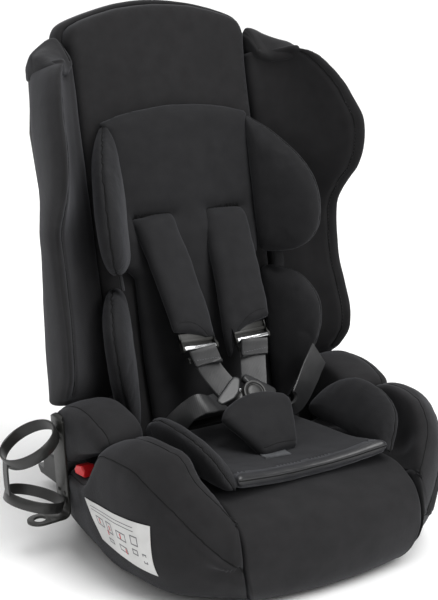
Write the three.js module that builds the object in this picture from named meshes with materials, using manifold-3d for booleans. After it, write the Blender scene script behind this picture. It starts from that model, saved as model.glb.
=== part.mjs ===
// Forward-facing child car seat with a reclining backrest, a five-point harness,
// rigid lower connectors and a clip-on cup holder.
// Millimetres. X is across the seat, -Y is the way the child faces, +Z is up.
// The origin is the middle of the base's flat underside.
import * as THREE from "three";
import { mergeVertices } from "three/addons/utils/BufferGeometryUtils.js";
import Module from "manifold-3d";

const wasm = await Module();
wasm.setup();

// ---------------------------------------------------------------- driving dimensions
const BACK_LEAN = THREE.MathUtils.degToRad(13); // backrest from vertical, at its upright stop
const PIVOT = new THREE.Vector3(0, 80, 115); // backrest hinge line, along X
const GAP = 0.5; // between neighbouring pieces
const BASE_FRONT = 252; // centre of the front panel to the origin
const BASE_REAR = 122; // rear wall of the base shell
const BASE_HALF = 224; // half width of the base over its arms
const SEAT_TOP = 117; // top of the seat cushion
const PANEL_HALF = 128; // half width of the front panel, between the arms
const TOWER_HALF = 131; // half width of the backrest's centre panel
const PAD_FRONT = -33; // front of the backrest padding, in the backrest's own frame
const WEBBING = 38; // harness webbing width
const WEB_THICK = 1.6;
const ISOFIX_X = 140; // half the standard 280 mm connector spacing

// ---------------------------------------------------------------- finishes
const finish = (color, roughness, metalness = 0) =>
  new THREE.MeshStandardMaterial({ color, roughness, metalness });
const FABRIC = finish(0x2c2b2c, 0.95);
const INLAY = finish(0x2e2e30, 0.95);
const SHELL = finish(0x1e1e1f, 0.55);
const WEB = finish(0x1d1e20, 0.6);
const PLASTIC = finish(0x232422, 0.4);
const BLACK_STEEL = finish(0x24241f, 0.35, 0.6);
const CHROME = finish(0xd0d2d4, 0.15, 1);
const STEEL = finish(0x9a9c9e, 0.35, 1);
const RED = finish(0xd8262a, 0.4);
const PAPER = finish(0xd4d4d2, 0.6);

// ---------------------------------------------------------------- solid helpers
function solidOf(geometry) {
  const bare = geometry.clone();
  bare.deleteAttribute("normal");
  bare.deleteAttribute("uv");
  const merged = mergeVertices(bare, 1e-3);
  return new wasm.Manifold(
    new wasm.Mesh({
      numProp: 3,
      vertProperties: merged.attributes.position.array,
      triVerts: new Uint32Array(merged.index.array),
    }),
  );
}

function geometryOf(solid) {
  const { vertProperties, triVerts, numProp, numVert } = solid.getMesh();
  const positions = new Float32Array(numVert * 3);
  for (let i = 0; i < numVert; i++)
    positions.set(vertProperties.subarray(i * numProp, i * numProp + 3), i * 3);
  const made = new THREE.BufferGeometry();
  made.setAttribute("position", new THREE.BufferAttribute(positions, 3));
  made.setIndex(new THREE.BufferAttribute(triVerts.slice(), 1));
  return made;
}

const cut = (geometry, ...tools) =>
  geometryOf(tools.reduce((s, t) => s.subtract(solidOf(t)), solidOf(geometry)));
const join = (geometry, ...more) =>
  geometryOf(more.reduce((s, t) => s.add(solidOf(t)), solidOf(geometry)));

// A closed box from its lowest to its highest corner.
function block([x0, y0, z0], [x1, y1, z1]) {
  const box = new THREE.BoxGeometry(x1 - x0, y1 - y0, z1 - z0);
  return box.translate((x0 + x1) / 2, (y0 + y1) / 2, (z0 + z1) / 2);
}

// Twice the signed area of a polygon of [a, b] pairs.
const signedArea = (ring) =>
  ring.reduce((sum, [a, b], i) => {
    const [c, d] = ring[(i + 1) % ring.length];
    return sum + a * d - c * b;
  }, 0);

// Triangles that fill a flat ring of 3-D points, wound the way the ring runs.
function capOf(ring) {
  const spans = [0, 1, 2].map((k) => {
    const values = ring.map((p) => p[k]);
    return Math.max(...values) - Math.min(...values);
  });
  const flat = spans.indexOf(Math.min(...spans));
  const [a, b] = [0, 1, 2].filter((k) => k !== flat);
  const plane = ring.map((p) => [p[a], p[b]]);
  const outline = plane.map(([u, v]) => new THREE.Vector2(u, v));
  const way = Math.sign(signedArea(plane));
  return THREE.ShapeUtils.triangulateShape(outline, []).map((tri) =>
    Math.sign(signedArea(tri.map((i) => plane[i]))) === way ? tri : [...tri].reverse(),
  );
}

// A closed solid through rings that all have the same number of [x, y, z] points.
function loft(rings) {
  const count = rings[0].length;
  const index = [];
  for (let s = 0; s + 1 < rings.length; s++)
    for (let j = 0; j < count; j++) {
      const k = (j + 1) % count;
      const [p, q, r, t] = [s * count + j, s * count + k, (s + 1) * count + k, (s + 1) * count + j];
      index.push(p, q, r, p, r, t);
    }
  const last = (rings.length - 1) * count;
  capOf(rings[0]).forEach(([i, j, k]) => index.push(k, j, i));
  capOf(rings.at(-1)).forEach(([i, j, k]) => index.push(last + i, last + j, last + k));
  const made = new THREE.BufferGeometry();
  made.setAttribute("position", new THREE.Float32BufferAttribute(rings.flat(2), 3));
  made.setIndex(index);
  return facingOut(made);
}

// The same geometry, with its faces turned round if they point inwards.
function facingOut(geometry) {
  const p = geometry.attributes.position;
  const [a, b, c] = [new THREE.Vector3(), new THREE.Vector3(), new THREE.Vector3()];
  const index = [...geometry.index.array];
  let volume = 0;
  for (let i = 0; i < index.length; i += 3) {
    a.fromBufferAttribute(p, index[i]);
    b.fromBufferAttribute(p, index[i + 1]);
    c.fromBufferAttribute(p, index[i + 2]);
    volume += a.dot(b.cross(c));
  }
  if (volume < 0)
    for (let i = 0; i < index.length; i += 3)
      [index[i], index[i + 1]] = [index[i + 1], index[i]];
  return geometry.setIndex(index);
}

// The mirror image of a geometry across the seat's middle.
function mirrored(geometry) {
  const made = geometry.index ? geometry.clone() : mergeVertices(geometry.clone());
  made.scale(-1, 1, 1);
  return facingOut(made);
}

// An outline from [a, b] points, smoothed by a closed curve when it is soft.
function outline(points, soft = 0) {
  const corners = points.map(([a, b]) => new THREE.Vector2(a, b));
  if (!soft) return new THREE.Shape(corners);
  const curve = new THREE.SplineCurve([...corners, corners[0]]);
  return new THREE.Shape(curve.getPoints(soft).slice(0, -1));
}

// A flat slab in the XY plane from low to high, with its rim eased by bevel.
function slab(shape, low, high, bevel = 0) {
  const made = new THREE.ExtrudeGeometry(shape, {
    depth: high - low - 2 * bevel,
    bevelEnabled: bevel > 0,
    bevelThickness: bevel,
    bevelSize: bevel,
    bevelOffset: -bevel,
    bevelSegments: 2,
    curveSegments: 8,
  });
  return made.translate(0, 0, low + bevel);
}

// A slab whose outline is [x, z], from front to back along Y (front < back).
const slabXZ = (shape, front, back, bevel) =>
  slab(shape, -back, -front, bevel).rotateX(Math.PI / 2);

// A slab whose outline is [y, z], from x0 to x1.
const OUTLINE_TO_YZ = new THREE.Matrix4().makeBasis(
  new THREE.Vector3(0, 1, 0),
  new THREE.Vector3(0, 0, 1),
  new THREE.Vector3(1, 0, 0),
);
const slabYZ = (shape, x0, x1, bevel) => slab(shape, x0, x1, bevel).applyMatrix4(OUTLINE_TO_YZ);

// A flat strip that follows points; across gives the way its width runs at each point.
function ribbon(points, across, width, thick) {
  const rings = points.map((p, i) => {
    const here = new THREE.Vector3(...p);
    const before = new THREE.Vector3(...points[Math.max(i - 1, 0)]);
    const after = new THREE.Vector3(...points[Math.min(i + 1, points.length - 1)]);
    const along = after.sub(before).normalize();
    const side = new THREE.Vector3(...across[i]);
    side.addScaledVector(along, -side.dot(along)).normalize();
    const face = new THREE.Vector3().crossVectors(along, side);
    return [[-1, -1], [1, -1], [1, 1], [-1, 1]].map(([a, b]) =>
      here.clone()
        .addScaledVector(side, (a * width) / 2)
        .addScaledVector(face, (b * thick) / 2)
        .toArray(),
    );
  });
  return loft(rings);
}

const X_ACROSS = [1, 0, 0];

// ---------------------------------------------------------------- the scene graph
const seat = new THREE.Group();
const backrest = new THREE.Group();
backrest.position.copy(PIVOT);
backrest.rotation.x = -BACK_LEAN;
seat.add(backrest);

function add(parent, name, geometry, material) {
  const mesh = new THREE.Mesh(geometry, material);
  mesh.name = name;
  parent.add(mesh);
  return mesh;
}

// A pair of pieces: the given geometry is the one on +X, the child's left.
function addPair(parent, name, geometry, material) {
  add(parent, `${name}_left`, geometry, material);
  add(parent, `${name}_right`, mirrored(geometry), material);
}

// ---------------------------------------------------------------- base
// The base's half plan at its widest level: [x, y] from the front centre to the rear centre.
const PLAN = [
  [0, -BASE_FRONT], [70, -249], [131, -238], [172, -212], [203, -176], [219, -134],
  [BASE_HALF, -80], [222, -20], [214, 40], [204, 90], [186, BASE_REAR], [0, BASE_REAR],
];

// The left half of a plan ring at height z, drawn in from PLAN, closed just past the middle.
function planRing(z, inset) {
  const half = PLAN.map(([x, y], i) => {
    const before = PLAN[Math.max(i - 1, 0)];
    const after = PLAN[Math.min(i + 1, PLAN.length - 1)];
    const away = new THREE.Vector2(after[1] - before[1], before[0] - after[0]).normalize();
    if (x === 0) return [-2, Math.min(y + (y < 0 ? inset : 0), BASE_REAR), z];
    return y < BASE_REAR ? [x - inset * away.x, y - inset * away.y, z] : [x - inset, y, z];
  });
  return half;
}

const HINGE_R = 8; // hinge pin radius
const FLOOR = 10; // thickness of the tub's floor
const EAR = { inner: 150, outer: 172.4 }; // shell ears that hold the hinge pins
const PIN_CLEAR = 0.8;
const STRAP_SLOT_Y = -80; // where the crotch strap goes down through the seat

// The moulded tub under the upholstery, drawn larger by spare.
function tub(spare = 0) {
  const levels = [[0, 62], [12, 52], [30, 38], [60, 32], [86, 34]];
  const half = loft(levels.map(([z, inset]) => planRing(z + spare, inset - 3 * spare)));
  return join(half, mirrored(half));
}

// The room inside the tub, open at the top.
function tubRoom() {
  const levels = [[FLOOR, 60], [30, 45], [60, 39], [95, 40]];
  const half = loft(levels.map(([z, inset]) => planRing(z, inset)));
  const rearWall = block([-250, BASE_REAR - 7, 0], [250, BASE_REAR + 10, 120]);
  return cut(join(half, mirrored(half)), rearWall);
}

// The room at the rear that a lower connector slides into.
const connectorBay = () =>
  block([ISOFIX_X - 18, 55, 12], [ISOFIX_X + 18, BASE_REAR + 10, 60]);

function baseShell() {
  const pieces = [];
  const tools = [];
  for (const side of [-1, 1]) {
    const across = (a, b) => [Math.min(side * a, side * b), Math.max(side * a, side * b)];
    const ear = slabYZ(
      outline([[52, 80], [108, 80], [108, 118], [96, 136], [64, 136], [52, 118]]),
      ...across(EAR.inner, EAR.outer),
    );
    pieces.push(ear);
    const bore = new THREE.CylinderGeometry(HINGE_R + PIN_CLEAR, HINGE_R + PIN_CLEAR, 60, 24);
    tools.push(bore.rotateZ(Math.PI / 2).translate(side * 160, PIVOT.y, PIVOT.z));
    tools.push(side > 0 ? connectorBay() : mirrored(connectorBay()));
  }
  const plateRecess = block([-36, STRAP_SLOT_Y - 15, -1], [36, STRAP_SLOT_Y + 15, 6]);
  const walls = cut(tub(), tubRoom());
  return cut(join(walls, ...pieces), ...tools, crotchSlot(-1, 90), plateRecess);
}

// Seat surface and front panel: a YZ profile, drawn in towards its sides.
const PANEL_PROFILE = [
  [-205, 1], [-230, 5], [-246, 22], [-BASE_FRONT, 55], [-247, 85], [-235, 102], [-212, 112],
  [-150, SEAT_TOP], [-60, 111], [38, 105], [38, 89], [-212, 92], [-232, 80], [-236, 55],
  [-230, 26], [-218, 14], [-205, 11],
];

const crotchSlot = (low, high) =>
  block([-24, STRAP_SLOT_Y - 7, low], [24, STRAP_SLOT_Y + 7, high]);

function baseCushion() {
  const stations = [-1, -0.7, -0.35, 0, 0.35, 0.7, 1].map((t) => t * PANEL_HALF);
  const rings = stations.map((x) => {
    const drawnIn = 13 * (x / PANEL_HALF) ** 2;
    return PANEL_PROFILE.map(([y, z]) => [x, y < -200 ? y + drawnIn : y, z]);
  });
  return cut(loft(rings), crotchSlot(60, 130));
}

// Stations round the arm: [x, y, normal angle in degrees, inner edge offset, inner edge z, outer edge z].
const ARM_STATIONS = [
  [186, 117, 30, 22, 102, 96],
  [206, 84, 12, 26, 106, 98],
  [215, 36, 6, 30, 106, 98],
  [221, -8, 3, 34, 106, 98],
  [223, -30, 2, 37, 116, 106],
  [BASE_HALF, -60, 1, 40, 148, 138],
  [BASE_HALF, -88, 0, 39, 179, 160],
  [222, -122, -6, 39, 186, 164],
  [214, -156, -20, 39, 184, 156],
  [196, -192, -40, 32, 166, 132],
  [168, -217, -58, 22, 138, 96],
  [131.5, -238, -82, 14, 110, 60],
];

function armRing([x, y, angle, inner, innerZ, outerZ]) {
  const turn = THREE.MathUtils.degToRad(angle);
  const reach = y > 40 ? 20 : Math.min(80, (x - PANEL_HALF - GAP) / Math.cos(turn));
  const foot = -Math.max(inner + 2, reach);
  const section = [
    [-36, 1], [-20, 18], [-6, 55], [0, Math.min(90, outerZ - 8)], [-2, outerZ],
    [-0.45 * inner, innerZ - 1], [-inner, innerZ - 3],
    [-inner - 1, Math.min(innerZ - 6, 0.4 * innerZ + 66)],
    [foot, Math.min(innerZ - 8, 0.1 * innerZ + 95)], [foot, 90], [-29, 89],
    [-29, 60], [-34, 30], [-48, 12], [-58, 1],
  ];
  return section.map(([n, z]) => [
    Math.max(PANEL_HALF + GAP, x + n * Math.cos(turn)), y + n * Math.sin(turn), z,
  ]);
}

function armCushion() {
  const ear = block([EAR.inner - 4, 40, 60], [EAR.outer + 1, BASE_REAR + 5, 150]);
  return cut(loft(ARM_STATIONS.map(armRing)), tub(GAP), ear, connectorBay());
}

// Rear arm knob, over the lap-belt channel, in side view: [y, z].
const KNOB = [
  [60, 128], [60, 160], [48, 178], [30, 188], [4, 188], [-22, 181], [-46, 169], [-52, 158],
  [-32, 146], [0, 134], [24, 118], [34, 112], [54, 112],
];

const knob = () => slabYZ(outline(KNOB, 26), 173, 217, 4);

// The knob on the cup holder's side has a pocket that its hook drops into.
const pocketKnob = () => cut(mirrored(knob()), block([-225, 26, 163], [-213, 54, 200]));

// Red guide that shows where the lap belt runs.
function beltGuide() {
  const side = outline([[-14, 111], [-14, 119], [-8, 124], [6, 121], [12, 114], [9, 109]]);
  return slabYZ(side, 198, 216, 2);
}

// ---------------------------------------------------------------- inlay
const INLAY_SEAT_PLAN = [
  [-108, -192], [-60, -190], [0, -187], [60, -190], [108, -192], [106, -120], [100, -30],
  [94, 14], [0, 16], [-94, 14], [-100, -30], [-106, -120],
];

const inlaySeat = () =>
  cut(
    slab(outline(INLAY_SEAT_PLAN), SEAT_TOP + 1, SEAT_TOP + 13, 4),
    crotchSlot(100, 150),
  );

// Hip bolster sections: [y, top x, top z, inner foot x, outer foot x].
const HIP = [
  [-184, 122, 166, 111, 131],
  [-160, 130, 185, 111, 141],
  [-125, 138, 194, 111, 147],
  [-91, 142, 196, 111, 149],
  [-60, 139, 186, 111, 149],
  [-36, 134, 168, 111, 147],
];

function hipBolster() {
  return loft(
    HIP.map(([y, topX, topZ, inner, outer]) => [
      [inner, y, 122], [inner - 2, y, 136], [(inner + topX) / 2 - 3, y, topZ - 16],
      [topX - 6, y, topZ - 2], [topX + 5, y, topZ - 1], [outer + 6, y, topZ - 16],
      [outer + 3, y, 140], [outer, y, 122],
    ]),
  );
}

// ---------------------------------------------------------------- backrest, in its own frame
// There x is across, y is the depth (front negative) and z is the height over the hinge.
const TOWER = [
  [120, -8], [TOWER_HALF, 60], [TOWER_HALF, 300], [TOWER_HALF, 474], [134, 500], [135, 516],
  [128, 527], [88, 539], [45, 548], [0, 552],
];
const symmetric = (half) => [...half, ...half.filter(([x]) => x > 0).reverse().map(([x, z]) => [-x, z])];

const SLOT_Z = 277; // harness slot height over the hinge
const SLOT_X = 54;
const slotCutters = (front, back, half = 24, tall = 5) =>
  [-1, 1].map((side) =>
    block([side * SLOT_X - half, front, SLOT_Z - tall], [side * SLOT_X + half, back, SLOT_Z + tall]),
  );

function backShell() {
  const plate = [
    [143, -16], [143, 46], [168, 60], [176, 120], [172, 240], [178, 400], [170, 452], [139, 462],
    [134, 474], [134, 512], [126, 524], [86, 536], [44, 545], [0, 549],
  ];
  const slots = [SLOT_Z, SLOT_Z + 70].flatMap((z) =>
    [-1, 1].map((side) =>
      block([side * SLOT_X - 24, -10, z - 5], [side * SLOT_X + 24, 40, z + 5]),
    ),
  );
  const bores = [-1, 1].map((side) =>
    new THREE.CylinderGeometry(HINGE_R + PIN_CLEAR, HINGE_R + PIN_CLEAR, 40, 24)
      .rotateZ(Math.PI / 2)
      .translate(side * 136, 0, 0),
  );
  const lugs = [-1, 1].map((side) => {
    const x = side * 137.5;
    return block([x - 5.5, -14, -16], [x + 5.5, 18, 46]);
  });
  const centreFoot = block([-122, -16, -20], [122, -0.5, 6]);
  const body = join(slabXZ(outline(symmetric(plate)), -3, 20), ...lugs);
  return cut(body, ...bores, ...slots, centreFoot);
}

function backPad() {
  const body = slabXZ(outline(symmetric(TOWER)), PAD_FRONT, -3 - GAP, 7);
  return cut(body, ...slotCutters(-60, 20));
}

// Wing rim by height: [height, rim x, rim depth, outer x].
const WING = [
  [68, 190, -48, 194],
  [80, 199, -64, 197],
  [100, 203, -80, 200],
  [150, 201, -81, 201],
  [200, 197, -75, 201],
  [245, 197, -77, 201],
  [280, 201, -94, 203],
  [312, 207, -130, 206],
  [345, 209, -149, 208],
  [375, 208, -152, 208],
  [405, 202, -139, 206],
  [435, 192, -121, 200],
  [458, 180, -102, 190],
  [473, 162, -76, 172],
];

// Corner points of a wing section, from the root at the front round to the root at the back.
function wingCorners([, rimX, rimY, outerX]) {
  return {
    root: [TOWER_HALF + GAP, PAD_FRONT + 1],
    middle: [(TOWER_HALF + rimX) / 2 + 7, (PAD_FRONT + rimY) / 2 + 5],
    rim: [rimX - 2, rimY + 1],
    lip: [rimX + 6, rimY + 8],
    flank: [outerX + 6, 0.5 * rimY],
    corner: [outerX - 3, -6],
    heel: [outerX - 16, 12],
  };
}

const WING_SHELL = 6; // wall thickness of the moulded wing

function wingPad() {
  return loft(
    WING.map((row) => {
      const c = wingCorners(row);
      const shrink = ([x, y], dx, dy) => [x - dx, y + dy];
      return [
        c.root, c.middle, c.rim, shrink(c.lip, WING_SHELL + 3, 5),
        shrink(c.flank, WING_SHELL + 3, 0), shrink(c.corner, WING_SHELL + 4, -6),
        [Math.min(c.heel[0] - 8, 178), -3 - GAP], [TOWER_HALF + GAP, -3 - GAP],
      ].map(([x, y]) => [x, y, row[0]]);
    }),
  );
}

function wingShell() {
  return loft(
    WING.map((row) => {
      const c = wingCorners(row);
      const inner = ([x, y], dx, dy) => [x - dx, y + dy];
      return [
        c.lip, c.flank, c.corner, c.heel, [Math.min(179.5, c.heel[0] - 3), 14],
        [Math.min(179.5, c.heel[0] - 3), 4], inner(c.corner, WING_SHELL + 1, -3),
        inner(c.flank, WING_SHELL, 0), inner(c.lip, WING_SHELL, 4),
      ].map(([x, y]) => [x, y, row[0]]);
    }),
  );
}

// Hook over each wing: the vehicle's shoulder belt runs between it and the tower.
const HOOK = [
  [147, 474], [143, 490], [141, 505], [145, 511], [152, 509], [160, 497], [170, 487],
  [181, 478], [177, 474],
];

function beltHook() {
  return slabXZ(outline(HOOK), -62, -14, 1);
}

// ---------------------------------------------------------------- inlay cushions on the backrest
const INLAY_HALF = [
  [86, 8], [88, 120], [84, 205], [100, 212], [108, 300], [109, 400], [72, 411], [38, 416], [0, 418],
];

function inlayBack() {
  const body = slabXZ(outline(symmetric(INLAY_HALF)), PAD_FRONT - 19, PAD_FRONT - GAP, 6);
  return cut(body, ...slotCutters(-80, 0));
}

// A bolster pad that lies on a wing's inner face. The outline is [along, height]; along runs from
// the backrest's centre panel out to the wing's rim.
const WING_FACE_ANGLE = THREE.MathUtils.degToRad(-57);

function wingBolster(points, lift, thick, bevel) {
  const slab = slabXZ(outline(points, 26), -lift - thick, -lift, bevel);
  return slab.rotateZ(WING_FACE_ANGLE).translate(TOWER_HALF, PAD_FRONT, 0);
}

const HEAD_BOLSTER = [
  [9, 300], [10, 378], [22, 390], [40, 376], [64, 351], [88, 322], [104, 290], [106, 258],
  [93, 228], [66, 214], [32, 213], [13, 232],
];
const TORSO_BOLSTER = [
  [9, 110], [9, 170], [18, 197], [38, 199], [62, 192], [80, 166], [84, 128], [76, 88],
  [52, 50], [28, 34], [14, 38], [9, 60],
];

// ---------------------------------------------------------------- harness
const STRAP_TOP = new THREE.Vector3(SLOT_X, 76, 395);
const STRAP_LOW = new THREE.Vector3(39, 9, 243);

// A group whose z axis runs up the strap and whose x axis is across it.
function strapFrame(side) {
  const low = STRAP_LOW.clone().setX(side * STRAP_LOW.x);
  const up = STRAP_TOP.clone().setX(side * STRAP_TOP.x).sub(low).normalize();
  const x = new THREE.Vector3(1, 0, 0).addScaledVector(up, -up.x).normalize();
  const y = new THREE.Vector3().crossVectors(up, x);
  const group = new THREE.Group();
  group.position.copy(low);
  group.quaternion.setFromRotationMatrix(new THREE.Matrix4().makeBasis(x, y, up));
  seat.add(group);
  return group;
}

function roundedRect(width, height, radius) {
  const [a, b] = [width / 2, height / 2];
  const shape = new THREE.Shape();
  shape.moveTo(a - radius, -b);
  shape.absarc(a - radius, -b + radius, radius, -Math.PI / 2, 0);
  shape.absarc(a - radius, b - radius, radius, 0, Math.PI / 2);
  shape.absarc(-a + radius, b - radius, radius, Math.PI / 2, Math.PI);
  shape.absarc(-a + radius, -b + radius, radius, Math.PI, 1.5 * Math.PI);
  return shape;
}

const STRAP_RUN = STRAP_TOP.distanceTo(STRAP_LOW);

function shoulderPad() {
  const section = roundedRect(60, 20, 8);
  section.holes.push(new THREE.Path(roundedRect(WEBBING + 5, 5, 1).getPoints(2)));
  const body = new THREE.ExtrudeGeometry(section, {
    depth: STRAP_RUN - 14,
    bevelEnabled: false,
    curveSegments: 4,
  });
  return body.translate(0, 0, 8);
}

// From the adjuster up through the shoulder pad, then back through its slot to the anchor bar.
function shoulderStrap() {
  const inBack = (p) => p.clone().sub(PIVOT).applyAxisAngle(new THREE.Vector3(1, 0, 0), BACK_LEAN);
  const low = inBack(STRAP_LOW.clone().lerp(STRAP_TOP, 0.035));
  const top = inBack(STRAP_TOP);
  const points = [
    low.toArray(), top.toArray(), [SLOT_X, top.y + 3, SLOT_Z - 1.4],
    [SLOT_X, top.y + 9, SLOT_Z], [SLOT_X, 24.6, SLOT_Z],
  ];
  return ribbon(points, Array(5).fill(X_ACROSS), WEBBING, WEB_THICK);
}

// The short run between a tongue and its adjuster.
const lowerStrap = () =>
  ribbon(
    [[40, -29, 209.5], [39, -18, 213], [38, -6, 218]],
    Array(3).fill(X_ACROSS),
    WEBBING - 4,
    WEB_THICK,
  );

// Manual length adjuster: a pressed frame, a chromed bar and a lever that grips the webbing.
const ADJUSTER = { width: 50, length: 23, thick: 7 };

function adjusterFrame() {
  const { width, length, thick } = ADJUSTER;
  const body = block([-width / 2, -thick / 2, -length], [width / 2, thick / 2, 2]);
  const window = block([-width / 2 + 3, -20, -length + 3], [width / 2 - 3, 20, -2]);
  return cut(body, window);
}

function adjusterBar() {
  const bar = new THREE.CylinderGeometry(3.2, 3.2, 43, 12).rotateZ(Math.PI / 2);
  return bar.translate(0, -1, -7);
}

function adjusterLever() {
  const side = outline([[-4.5, -19], [-4.5, -14], [-2, -11], [1.5, -11], [1.5, -15], [-1, -19]]);
  return slabYZ(side, -21, 21);
}

// ---------------------------------------------------------------- buckle, on a group that leans back
const BUCKLE_LEAN = THREE.MathUtils.degToRad(38);

function crotchPad() {
  const shape = outline([
    [-23, 0], [23, 0], [34, 28], [43, 54], [38, 70], [20, 78], [-20, 78], [-38, 70], [-43, 54],
    [-34, 28],
  ]);
  return slabXZ(shape, -9, 9, 5);
}

function buckleHousing() {
  const shape = outline([
    [-20, 24], [20, 24], [25, 42], [25, 78], [18, 86], [-18, 86], [-25, 78], [-25, 42],
  ]);
  const body = slabXZ(shape, 12, 34, 3);
  return cut(body, block([-16, 8, 52], [16, 18.8, 80]), block([-21, 20, 64], [21, 26, 110]));
}

function buckleTongue() {
  const blade = block([2, 21, 66], [17, 24.5, 98]);
  const yoke = slabXZ(
    outline([[2, 87], [18, 87], [46, 90], [56, 96], [54, 102], [4, 98]]), 16, 28, 2,
  );
  return join(blade, yoke);
}

// ---------------------------------------------------------------- rigid lower connectors
const HOUSING = { front: 128, rear: 252, half: 14, low: 16, high: 54 };
const JAW = { low: 27, high: 43, deep: 20 };

function isofixHousing() {
  const { front, rear, half, low, high } = HOUSING;
  const side = outline([
    [front, low + 4], [front + 4, low], [rear - 8, low], [rear, low + 7], [rear, high - 12],
    [rear - 12, high], [front + 4, high], [front, high - 4],
  ]);
  const body = slabYZ(side, ISOFIX_X - half, ISOFIX_X + half, 2);
  return cut(
    body,
    block([ISOFIX_X - 20, rear - JAW.deep, JAW.low], [ISOFIX_X + 20, rear + 5, JAW.high]),
    block([ISOFIX_X - 4, 206, 24], [ISOFIX_X + 4, rear + 5, high + 5]),
    block([ISOFIX_X - 8, 158, 44], [ISOFIX_X + 8, 182, high + 5]),
    block([ISOFIX_X - 10.5, front - 5, 23.5], [ISOFIX_X + 10.5, front + 26, 46.5]),
  );
}

const isofixArm = () => block([ISOFIX_X - 10, -60, 24], [ISOFIX_X + 10, HOUSING.front + 25, 46]);

function isofixHook() {
  const side = outline([
    [214, 41], [212, 50], [220, 53.5], [236, 53], [246, 46], [246, 30], [240, 30], [238, 43.6], [226, 43.6],
  ]);
  return slabYZ(side, ISOFIX_X - 3, ISOFIX_X + 3);
}

const isofixButton = () => block([ISOFIX_X - 7.4, 158.6, 49.5], [ISOFIX_X + 7.4, 181.4, HOUSING.high + 3]);

// ---------------------------------------------------------------- cup holder, on the child's right
const CUP_Y = 40;
const CUP_TILT = THREE.MathUtils.degToRad(3);

// In a frame whose origin is the bracket's top edge; z is down its face, x is outwards.
function cupBracket() {
  const strip = block([0, -16, -128], [3.2, 16, 0]);
  const lip = join(block([-5, -10, -3], [1, 10, 0]), block([-5, -10, -8], [-3, 10, 0]));
  const tabShape = new THREE.Shape();
  tabShape.moveTo(1, -16);
  tabShape.lineTo(40, -16);
  tabShape.absarc(40, 0, 16, -Math.PI / 2, Math.PI / 2);
  tabShape.lineTo(1, 16);
  const hole = new THREE.Path();
  hole.absarc(36, 0, 7.5, 0, 2 * Math.PI, true);
  tabShape.holes.push(hole);
  const flat = { depth: 3.2, bevelEnabled: false, curveSegments: 8 };
  const tab = new THREE.ExtrudeGeometry(tabShape, flat);
  return join(strip, lip, tab.translate(0, 0, -128));
}

// A flat band bent into a ring of outer radius r, tilted, its inner end at the bracket.
function cupRing(r, tall, slope, z) {
  const thick = 2.4;
  const corners = [[r - thick, -tall / 2], [r, -tall / 2], [r, tall / 2], [r - thick, tall / 2]];
  const section = [...corners, corners[0]].map(([a, b]) => new THREE.Vector2(a, b));
  const band = new THREE.LatheGeometry(section, 32);
  const inner = 3.2 + GAP + r * Math.cos(slope) + (tall / 2) * Math.sin(Math.abs(slope));
  return band.rotateX(Math.PI / 2).rotateY(slope).translate(inner, 0, z);
}

function cupCage() {
  const upper = cupRing(37.5, 16, THREE.MathUtils.degToRad(25), -24);
  const lower = cupRing(37.5, 13, THREE.MathUtils.degToRad(-20), -96);
  const spine = block([72.5, -6, -86], [76, 6, -38]);
  return join(upper, lower, spine);
}

// ---------------------------------------------------------------- assembly: base
add(seat, "base_shell", baseShell(), SHELL);
add(seat, "seat_cushion", baseCushion(), FABRIC);
addPair(seat, "arm_cushion", armCushion(), FABRIC);
add(seat, "arm_knob_left", knob(), FABRIC);
add(seat, "arm_knob_right", pocketKnob(), FABRIC);
addPair(seat, "lap_belt_guide", beltGuide(), RED);
add(seat, "inlay_seat", inlaySeat(), INLAY);
addPair(seat, "hip_bolster", hipBolster(), INLAY);

for (const side of [-1, 1]) {
  const pin = new THREE.CylinderGeometry(HINGE_R, HINGE_R, 40, 20).rotateZ(Math.PI / 2);
  const name = side > 0 ? "hinge_pin_left" : "hinge_pin_right";
  add(seat, name, pin.translate(side * 148, PIVOT.y, PIVOT.z), STEEL);
}

// Sticker on the child's right, on the arm's outer side: [x, y, normal angle in degrees].
const STICKER_STATIONS = [[223.6, -36, 2], [224.4, -88, 0], [222.2, -122, -6], [214.4, -156, -20]];
const stickerRing = ([x, y, angle]) => {
  const turn = THREE.MathUtils.degToRad(angle);
  const section = [[0.6, 88], [1.8, 88], [-1.2, 46], [-2.6, 46]];
  return section.map(([n, z]) => [-(x + n * Math.cos(turn)), y + n * Math.sin(turn), z]);
};
add(seat, "side_sticker", loft(STICKER_STATIONS.map(stickerRing)), PAPER);

// ---------------------------------------------------------------- assembly: backrest
add(backrest, "back_shell", backShell(), SHELL);
add(backrest, "back_pad", backPad(), FABRIC);
addPair(backrest, "wing_shell", wingShell(), SHELL);
addPair(backrest, "wing_pad", wingPad(), FABRIC);
addPair(backrest, "shoulder_belt_hook", beltHook(), FABRIC);
add(backrest, "inlay_back", inlayBack(), INLAY);
addPair(backrest, "head_bolster", wingBolster(HEAD_BOLSTER, 3, 34, 5), INLAY);
addPair(backrest, "torso_bolster", wingBolster(TORSO_BOLSTER, 3, 34, 5), INLAY);

// Webbing from the adjuster through the slots to the anchor bar behind the shell.
for (const [side, hand] of [[1, "left"], [-1, "right"]]) {
  const frame = strapFrame(side);
  add(frame, `shoulder_pad_${hand}`, shoulderPad(), FABRIC);
  add(frame, `adjuster_frame_${hand}`, adjusterFrame(), BLACK_STEEL);
  add(frame, `adjuster_bar_${hand}`, adjusterBar(), CHROME);
  add(frame, `adjuster_lever_${hand}`, adjusterLever(), PLASTIC);
}
addPair(backrest, "shoulder_strap", shoulderStrap(), WEB);
addPair(seat, "lower_strap", lowerStrap(), WEB);
add(backrest, "anchor_bar", block([-84, 25, SLOT_Z - 6], [84, 28.5, SLOT_Z + 6]), STEEL);

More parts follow.
